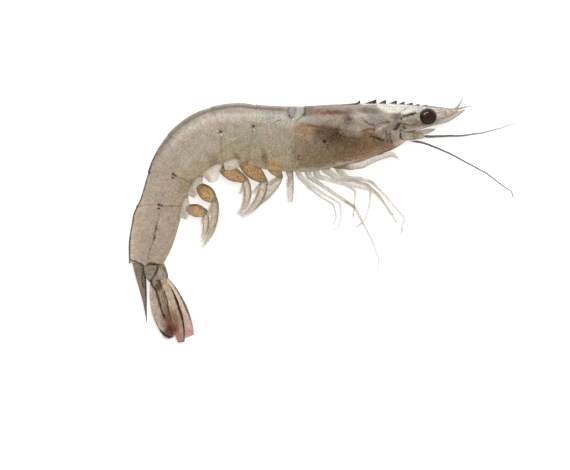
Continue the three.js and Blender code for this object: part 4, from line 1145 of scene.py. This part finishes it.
# Grey-green marks on the walking legs.
LEG_MARKS = [
    ([(12.4, -13.2), (16.5, -13.6), (21.0, -15.0)], 0.5, (144, 143, 128), 0.4),
    ([(13.6, -20.8), (16.2, -22.4)], 0.5, (128, 126, 108), 0.6),
    ([(2.2, -13.5), (7.5, -15.2)], 0.8, (176, 178, 158), 0.5),
    ([(21.5, -15.2), (25.5, -20.5)], 0.8, (186, 172, 154), 0.5),
]


def limb(side, hip, outs, girth, podomeres, taper=LEG_TAPER, pincer=False):
    points = rounded(chain(hip, podomeres, limb_height(side, outs), 0.3), 3)
    points[:, 2] = np.maximum(points[:, 2], 0.3)
    lengths = np.array([p[0] for p in podomeres])
    joints, total = np.cumsum(lengths), lengths.sum()
    nail = lengths[-1] / total

    def swell(t, spread):
        return np.max([np.exp(-(((t * total - joint) / spread) ** 2)) for joint in joints[:-1]], axis=0)

    def radius(t):
        claw = 0.22 * np.exp(-(((t - 1 + 0.62 * nail) / (0.25 * nail)) ** 2)) * pincer
        shape = 0.92 + 0.2 * swell(t, 1.0) - 0.16 * swell(t, 0.28) + 0.5 * np.exp(-((t / 0.07) ** 2)) + claw
        return mix(girth, LIMB_TIP, t**taper) * shape * (1 - 0.75 * smooth(t, 1 - 1.2 / total, 1))

    part = sweep(points, radius, lambda t: 0.85 * radius(t), sides=18)
    part.wobble(0.2, 0.8, 19)
    part.wash((238, 232, 222)).stain((222, 222, 206), 0.5, 2.5, 13).stain((240, 224, 214), 0.5, 2.5, 14)
    part.wash((196, 190, 172), 0.5 * swell(part.t, 0.8) * smooth(uneven(part.points, 6.0, 17), -0.1, 0.3))
    part.wash((188, 182, 168), 0.35 * smooth(np.abs(np.cos(part.angle)), 0.75, 0.97))
    part.wash((226, 224, 222), 0.8 * smooth(part.t, 0.5, 0.95)).draw(strokes=LEG_MARKS)
    part.wash((204, 198, 180), 0.7 * (1 - smooth(part.t, 0.04, 0.16)))
    part.clear = 0.2 + 0.42 * smooth(part.t, 0.3, 0.95) + 0.28 * (side == LEFT) * (1 - smooth(part.t, 0.4, 0.75))
    part.speck = 0.3 * (1 - smooth(part.t, 0.5, 0.9))
    parts = [part]
    if pincer:
        start = points[-1 - round(0.52 * lengths[-1] / 0.3)]
        heading = podomeres[-1][1]
        turned = [(0.5 * lengths[-1], heading + 24, heading - 6)]
        finger = chain(start[:2], turned, lambda t: max(start[2] + 0.1 * side, 0.25), 0.12)
        claw = sweep(finger, lambda t: 0.2 * (1 - 0.75 * t), lambda t: 0.18 * (1 - 0.75 * t), sides=10)
        claw.wash((220, 212, 198))
        claw.clear[:] = 0.4
        parts.append(claw)
    return parts


def add_legs(side):
    name = SIDES[side]
    for n, (hip, outs, girth, podomeres) in enumerate(LEGS[name]):
        parts = limb(side, hip, outs, girth, podomeres, pincer=n < PINCER_LEGS)
        add(f"walking_leg_{n + 1}_{name}", parts, LEG, [f"leg_{n + 1}_{name}"])
    form = JAW_LEG
    jaw = limb(side, form["hip"], form["outs"][name], form["girth"], form["podomeres"], form["taper"])[0]
    c, t = np.cos(jaw.angle), jaw.t
    jaw.wash((240, 228, 218)).stain((206, 186, 172), 0.5, 0.7, 71)
    # A near-white painted highlight along the mouth leg's side towards the back; the opposite side is painted darker.
    jaw.wash((255, 248, 238), 0.9 * smooth(c, 0.0, 0.4) * (1 - smooth(c, 0.85, 0.97)) * smooth(t, 0.2, 0.3))
    jaw.wash((156, 136, 120), 0.5 * smooth(-c, 0.5, 0.9)).wash((160, 124, 100), 0.6 * smooth(c, 0.88, 0.98))
    jaw.wash((124, 102, 78), 0.85 * (1 - smooth(t, 0.18, 0.34)))
    jaw.clear = 0.12 + 0.6 * smooth(t, 0.76, 1)
    jaw.speck[:] = 0.6
    add(f"mouth_leg_{name}", [jaw], LEG, [f"jaw_leg_{name}"])


# Swimmerets


# The fleshy stems' colours, front to rear.
BLOBS = [(190, 162, 118), (186, 150, 108), (198, 162, 122), (204, 170, 124), (206, 174, 132)]


def add_swimmeret(side, n, root, out, stem, plump, blade, broad):
    name = SIDES[side]
    middle = float(trunk_value("lift", (JOINTS[n] + JOINTS[n + 1]) / 2))
    waist = stem[0] / (stem[0] + blade[0])
    ghost = side == LEFT and n == 1
    slim = 0.8 if ghost else 0.42

    def height(t):
        return middle + side * out * (1 - 0.25 * t)

    def wide(t):
        u, v = np.minimum(t / waist, 1), np.clip((t - waist) / (1 - waist), 0, 1)
        fleshy = plump * (slim + (1 - slim) * np.sin(np.pi * u))
        bladed = broad * np.sin(np.pi * np.minimum(0.97, 0.36 + (0.42 if ghost else 0.62) * v)) ** 0.9
        return np.where(t < waist, fleshy, mix(slim * plump, bladed, smooth(t, waist, waist + 0.06)))

    def thick(t):
        return mix(0.6 * plump, 0.2, smooth(t, 0.6 * waist, 1.25 * waist)) * (1 - 0.6 * smooth(t, 0.85, 1))

    points = chain(root, [stem, blade], height, 0.3)
    outer = sweep(points, wide, thick, sides=32)
    outer.wobble(0.2, 0.8, 21 + n)
    c, t = np.cos(outer.angle), outer.t
    on_stem = 1 - smooth(t, waist - 0.03, waist + 0.05)
    on_blade = 1 - on_stem
    outer.wash((234, 220, 202)).stain((200, 180, 158), 0.5, 0.8, 27)
    outer.wash((238, 224, 212), 0.8 * smooth(t, mix(waist, 1, 0.3), 0.9))
    outer.wash(BLOBS[n - 1], on_stem)
    outer.stain((214, 172, 120), 0.5, 1.0, 23, mask=on_stem).stain((150, 114, 78), 0.5, 0.7, 24, mask=on_stem)
    outer.stain((128, 98, 70), 0.42, 0.4, 28, 0.12, on_stem)
    outer.wash((176, 168, 128), 0.7 * (n == 1) * on_stem * smooth(t, 0.5 * waist, 0.9 * waist))
    outer.wash((92, 76, 60), 0.8 * on_stem * smooth(np.abs(c), 0.78, 0.97))
    outer.wash((132, 112, 84), 0.8 * on_stem * (1 - smooth(t, 0.03, 0.16)))
    outer.wash((128, 116, 92), 0.7 * smooth(-np.abs(t - waist), -0.05, -0.01))
    outer.wash((138, 118, 94), 0.85 * on_blade * smooth(c, 0.1, 0.8) * (1 - smooth(t, 0.7, 0.95)))
    outer.wash((160, 142, 120), 0.6 * on_blade * smooth(-c, 0.6, 0.95) * (1 - smooth(t, 0.7, 0.95)))
    outer.wash((184, 164, 138), 0.45 * on_blade * (n == 4))
    outer.clear = on_blade * (0.12 + 0.34 * (n == 1) + 0.45 * smooth(t, mix(waist, 1, 0.35), 1))
    if ghost:
        outer.wash((242, 231, 228)).wash((196, 190, 178), 0.8 * (1 - smooth(t, 0.1, 0.4)))
        outer.wash((120, 110, 106), 0.9 * smooth(c, 0.5, 0.8)).stain((150, 146, 132), 0.6, 0.5, 29, 0.1, 1 - t)
        outer.clear = 0.15 + 0.4 * t
    outer.speck = 0.9 * (1 - smooth(t, 0.6, 0.9))
    neck = points[round(stem[0] / 0.3)]
    arc = (0.42 * blade[0], blade[1] - 22, blade[2] - 8)
    inner_points = chain(neck[:2], [arc], lambda u: neck[2] - side * 0.4, 0.3)

    def narrow(u):
        return 0.62 * broad * np.sin(np.pi * np.minimum(0.96, 0.4 + 0.58 * u))

    inner = sweep(inner_points, narrow, lambda u: mix(0.38, 0.14, u), sides=18)
    inner.wash((206, 192, 168)).wash((232, 222, 208), smooth(inner.t, 0.3, 1))
    inner.clear = 0.25 + 0.5 * smooth(inner.t, 0.3, 1)
    parts = [outer, inner]
    for path, width, first, length in ((points, wide, 1.35 * waist, 1.0), (inner_points, narrow, 0.2, 0.7)):
        way = unit(np.gradient(path, axis=0))
        across = unit(np.cross((0, 0, 1), way))
        share = np.linspace(0, 1, len(path))
        keep = share > first
        for sign in (1, -1):
            edge = (path + sign * across * width(share)[:, None])[keep]
            bristles = fringe(edge, sign * across[keep], 0.2, length, 40 + n, 0.9)
            bristles.wash((216, 202, 190))
            bristles.clear[:] = 0.6
            parts.append(bristles)
    add(f"paddle_{n}_{name}", parts, PADDLE, [f"swimmeret_{n}_{name}"])


# Tail fan


TELSON_MARKS = [
    ([(-53.6, -43.9), (-53.9, -46.5), (-53.4, -49)], 0.26, (62, 46, 36), 0.95),
    ([(-52.6, -42.9), (-52.7, -46.0), (-52.4, -50), (-52.2, -54.5), (-52.1, -60.4)], 0.36, (34, 24, 18), 1.0),
    ([(-57.2, -42), (-56.6, -47), (-55, -53.5), (-53.5, -58.5)], 0.22, (104, 88, 74), 0.8),
]
STEM_MARKS = [
    ([(-51.6, -41.6), (-50.6, -41.2), (-48.9, -41.5), (-48.5, -42.6), (-49.4, -44.4), (-51.0, -47.0)], 0.3,
     (38, 27, 20), 1.0),
    ([(-50.9, -47.0), (-50.7, -48.2), (-49.9, -49.6)], 0.26, (44, 32, 24), 0.95),
    ([(-48.4, -46.9), (-47.7, -48.0)], 0.6, (62, 56, 36), 0.9),
    ([(-46.9, -42.4), (-45.6, -45.2), (-45.0, -47.4)], 0.25, (70, 56, 44), 0.9),
]


def add_telson():
    form = TELSON
    arc = (form["length"], form["from"], form["to"])
    points = chain(form["root"], [arc], lambda t: TAIL_MIDDLE, 0.3)
    part = sweep(
        points,
        lambda t: np.maximum(form["wide"] * (1 - smooth(t, 0.1, 1.12)), 0.12),
        lambda t: mix(form["thick"], 0.3, t**0.85),
        sides=32,
    )
    s = np.sin(part.angle)
    back = smooth(-np.cos(part.angle), 0.6, 1)
    part.points[:, :2] += (0.22 * back * (1 - smooth(part.t, 0.6, 0.9)))[:, None] * np.array([[0.96, 0.26]])
    part.wobble(0.16, 0.9, 8)
    part.wash((134, 118, 102)).wash((156, 140, 122), 0.6 * smooth(np.abs(s), 0.5, 0.9))
    part.stain((112, 96, 80), 0.6, 0.8, 81).stain((158, 150, 136), 0.5, 0.9, 82)
    part.wash((120, 106, 92), 0.6 * smooth(part.t, 0.4, 0.9))
    part.draw(strokes=TELSON_MARKS)
    part.wash((66, 52, 44), 0.8 * smooth(part.t, 0.84, 0.97))
    part.speck[:] = 0.4
    add("tail_spike", [part], TAIL, ["telson"])


def add_fan_stem(side):
    form = FAN_STEM
    shift = (0, 0) if side == RIGHT else LEFT_STEM_SHIFT
    start = (form["root"][0] + shift[0], form["root"][1] + shift[1])
    arc = (form["length"], form["heading"])
    points = chain(start, [arc], lambda t: TAIL_MIDDLE + side * form["out"], 0.25)

    def outline(t):
        return form["wide"] * (0.75 + 0.25 * np.sin(np.pi * t)) * (1 - 0.35 * smooth(t, 0.85, 1))

    def depth(t):
        return form["thick"] * (1 - 0.5 * smooth(t, 0.8, 1)) * (0.8 + 0.2 * smooth(t, 0, 0.2))

    part = sweep(points, outline, depth, sides=32)
    c = np.cos(part.angle)
    part.points[:, 2] += side * 0.3 * np.exp(-((c / 0.18) ** 2)) * (1 - smooth(part.t, 0.7, 1))
    part.points[:, 0] -= 0.5 * np.maximum(-c, 0) * (1 - smooth(part.t, 0.5, 0.9)) * (side == RIGHT)
    part.wobble(0.2, 0.9, 12)
    part.wash((156, 138, 122)).wash((196, 189, 172), 0.9 * part.spot((-46.6, -44.2), (1.7, 2.6)))
    part.stain((118, 102, 84), 0.6, 0.7, 83).stain((170, 160, 144), 0.5, 0.8, 84)
    part.wash((66, 50, 38), 0.8 * smooth(np.abs(c), 0.92, 0.99)).draw(strokes=STEM_MARKS)
    part.speck[:] = 0.4
    add(f"fan_root_{SIDES[side]}", [part], TAIL, [f"fan_stem_{SIDES[side]}"])


# Dark ribs and edges of the fan, drawn on the blade they belong to.
RIBS = {
    "outer_right": [
        ([(-45.0, -46.7), (-43.2, -51.0), (-41.7, -55.6), (-40.4, -59.6), (-39.8, -63.2),
          (-39.6, -67)], 0.42),
        ([(-46.5, -50.3), (-45.5, -53.5), (-45.0, -56.8), (-44.2, -60.4), (-43.6, -63.6)], 0.22),
    ],
    "inner_right": [
        ([(-50.6, -58.4), (-49.5, -60.8), (-48.4, -63.2)], 0.26),
        ([(-48.2, -63.2), (-46.3, -64.8), (-43.2, -66.1)], 0.4),
        ([(-51.0, -47.8), (-49.3, -50.1), (-48.2, -53.5), (-47.6, -56.2), (-46.3, -59.4)], 0.3),
    ],
    "inner_left": [
        ([(-46.6, -50.0), (-45.4, -54.0), (-44.2, -58.0), (-43.4, -62.0)], 0.26),
    ],
    "outer_left": [
        ([(-45.5, -44.4), (-43.2, -48.2), (-40.9, -52.1), (-39.4, -55.6), (-37.9, -59.1), (-36.9, -61.9),
          (-36.0, -64.6)], 0.5),
    ],
}


def add_fan_blade(name):
    root, length, first, last, wide, heights, tilt = FAN_BLADES[name]
    points = chain(root, [(length, first, last)], lambda t: mix(*heights, t), 0.3)
    flat = np.array((math.sin(math.radians(tilt)), 0, math.cos(math.radians(tilt))))

    def outline(t):
        blunt = 0.45 if name.startswith("inner") else 0.12
        return wide * np.sin(np.pi * (0.08 + 0.78 * t)) ** 0.7 * (1 - blunt * smooth(t, 0.96, 1))

    part = sweep(points, outline, lambda t: mix(0.34, 0.16, t), flat, 64)
    c, s, t = np.cos(part.angle), np.sin(part.angle), part.t
    ribs = 0.26 * np.exp(-(((c - 0.12) / 0.09) ** 2)) + 0.14 * np.exp(-(((c - 0.86) / 0.08) ** 2))
    part.points += (np.sign(s) * ribs * (1 - 0.7 * smooth(t, 0.7, 1)))[:, None] * flat
    part.wobble(0.18, 1.1, 14)
    pale = name == "outer_left"
    y = part.flat[:, 1]
    if pale:
        part.wash((250, 230, 204)).stain((240, 214, 186), 0.5, 1.6, 25)
        part.wash((218, 168, 156), 0.85 * smooth(-y, 55.5, 60.5))
        part.wash((176, 108, 98), 0.6 * part.spot((-38.6, -64), (2.4, 1.4)))
    else:
        part.wash((212, 190, 164) if name == "outer_right" else (206, 188, 170))
        part.stain((150, 130, 108), 0.5, 1.6, 26)
        part.wash((170, 146, 116), 0.7 * part.spot((-47.6, -52.5), (1.6, 5.5), 12))
        part.wash((138, 92, 74), 0.85 * part.spot((-44.0, -60.4), (2.8, 4.4), 12))
        part.wash((84, 76, 44), 0.8 * part.spot((-48.4, -48.4), (1.4, 1.8)))
        part.wash((104, 46, 32), 0.85 * part.spot((-44.3, -63.7), (2.3, 1.9)))
        part.stain((112, 62, 48), 0.6, 0.5, 85, 0.1, part.spot((-44.8, -61.0), (2.4, 4.0), 12))
        part.wash((186, 132, 122), 0.9 * smooth(-y, 63.0, 65.0) * smooth(part.flat[:, 0], -44.4, -42.8))
    for places, width in RIBS[name]:
        part.wash((24, 14, 9), 0.97 * part.line(places, width))
    part.wash((84, 62, 50), 0.6 * smooth(np.abs(c), 0.94, 0.99) * (1 - smooth(t, 0.9, 1)))
    part.clear = (0.35 if pale else 0.06) + 0.1 * smooth(t, 0.5, 1)
    part.speck[:] = 0.5
    share = np.linspace(0, 1, len(points))
    way = unit(np.gradient(points, axis=0))
    across = unit(np.cross(flat, way))
    far = share > 0.45
    edges = [points[far] + sign * (across * outline(share)[:, None])[far] for sign in (1, -1)]
    ways = [sign * across[far] + 0.4 * way[far] for sign in (1, -1)]
    tip = points[-1] + across[-1] * outline(1.0) * np.linspace(-1, 1, 14)[:, None]
    edges.append(tip)
    ways.append(np.repeat(way[-1:], 14, 0))
    parts = [part]
    for edge, out in zip(edges, ways):
        bristles = fringe(edge, out, 0.17, 0.7, 60, 0.2)
        bristles.wash((214, 186, 176)).wash((168, 144, 128), smooth(bristles.points[:, 1], -60, -54))
        bristles.clear[:] = 0.5
        parts.append(bristles)
    add(f"fan_blade_{name}", parts, FAN, [f"fan_{name}"])


add_head()
add_shells()
add_crest()
for side in (RIGHT, LEFT):
    add_eye(side)
    add_small_feeler(side)
    add_feeler_scale(side)
    add_feeler(side)
    add_legs(side)
    for n, form in enumerate(SWIMMERETS[SIDES[side]]):
        add_swimmeret(side, n + 1, *form)
add_telson()
add_fan_stem(RIGHT)
add_fan_stem(LEFT)
for name in FAN_BLADES:
    add_fan_blade(name)

# Floor, light and camera


# How bright the studio's parts are: the white floor's own glow, the sky, and the lamps' watts.
FLOOR_GLOW = 0.45
SKY = 0.45
OVERHEAD = 18.2
SOFTBOX = 13.0


def add_stage():
    mesh = bpy.data.meshes.new("floor")
    size = 1.5
    corners = [(-size, -size, 0), (size, -size, 0), (size, size, 0), (-size, size, 0)]
    mesh.from_pydata(corners, [], [(0, 1, 2, 3)])
    s = Shader("floor_pale")
    s.set(Base_Color=(0.93, 0.925, 0.92, 1), Roughness=0.9, Specular_IOR_Level=0.1)
    s.set(Emission_Color=(1, 1, 1, 1), Emission_Strength=FLOOR_GLOW)
    mesh.materials.append(s.material)
    floor = bpy.data.objects.new("floor", mesh)
    bpy.context.scene.collection.objects.link(floor)
    world = bpy.data.worlds.new("studio")
    world.use_nodes = True
    background = next(n for n in world.node_tree.nodes if n.type == "BACKGROUND")
    background.inputs["Color"].default_value = (1.0, 0.995, 0.985, 1)
    background.inputs["Strength"].default_value = SKY
    bpy.context.scene.world = world
    bpy.context.scene.view_settings.view_transform = "Standard"


def add_light(name, place, size, power, glossy):
    light = bpy.data.lights.new(name, "AREA")
    light.shape, light.size, light.size_y = "RECTANGLE", size[0], size[1]
    light.energy = power
    lamp = bpy.data.objects.new(name, light)
    lamp.location = place
    lamp.rotation_euler = (-Vector(place)).to_track_quat("-Z", "Y").to_euler()
    lamp.visible_glossy = glossy
    lamp.visible_diffuse = not glossy
    bpy.context.scene.collection.objects.link(lamp)


def add_camera():
    aim = (np.array((-6.6, -31.7, HEAD_MIDDLE)) + SHIFT) * METRE
    distance, width = 1.4, 570 * 0.33 * METRE
    camera = bpy.data.cameras.new("camera")
    camera.sensor_width = 36
    camera.lens = camera.sensor_width * distance / width
    camera.clip_start, camera.clip_end = 0.1, 10
    holder = bpy.data.objects.new("camera", camera)
    holder.location = (aim[0], aim[1], aim[2] + distance)
    bpy.context.scene.collection.objects.link(holder)
    bpy.context.scene.camera = holder


add_stage()
add_light("overhead", (0.1, 0.2, 2.0), (0.7, 0.7), OVERHEAD, False)
add_light("softbox", (-0.36, 0.69, 0.45), (1.25, 0.3), SOFTBOX, True)
add_camera()
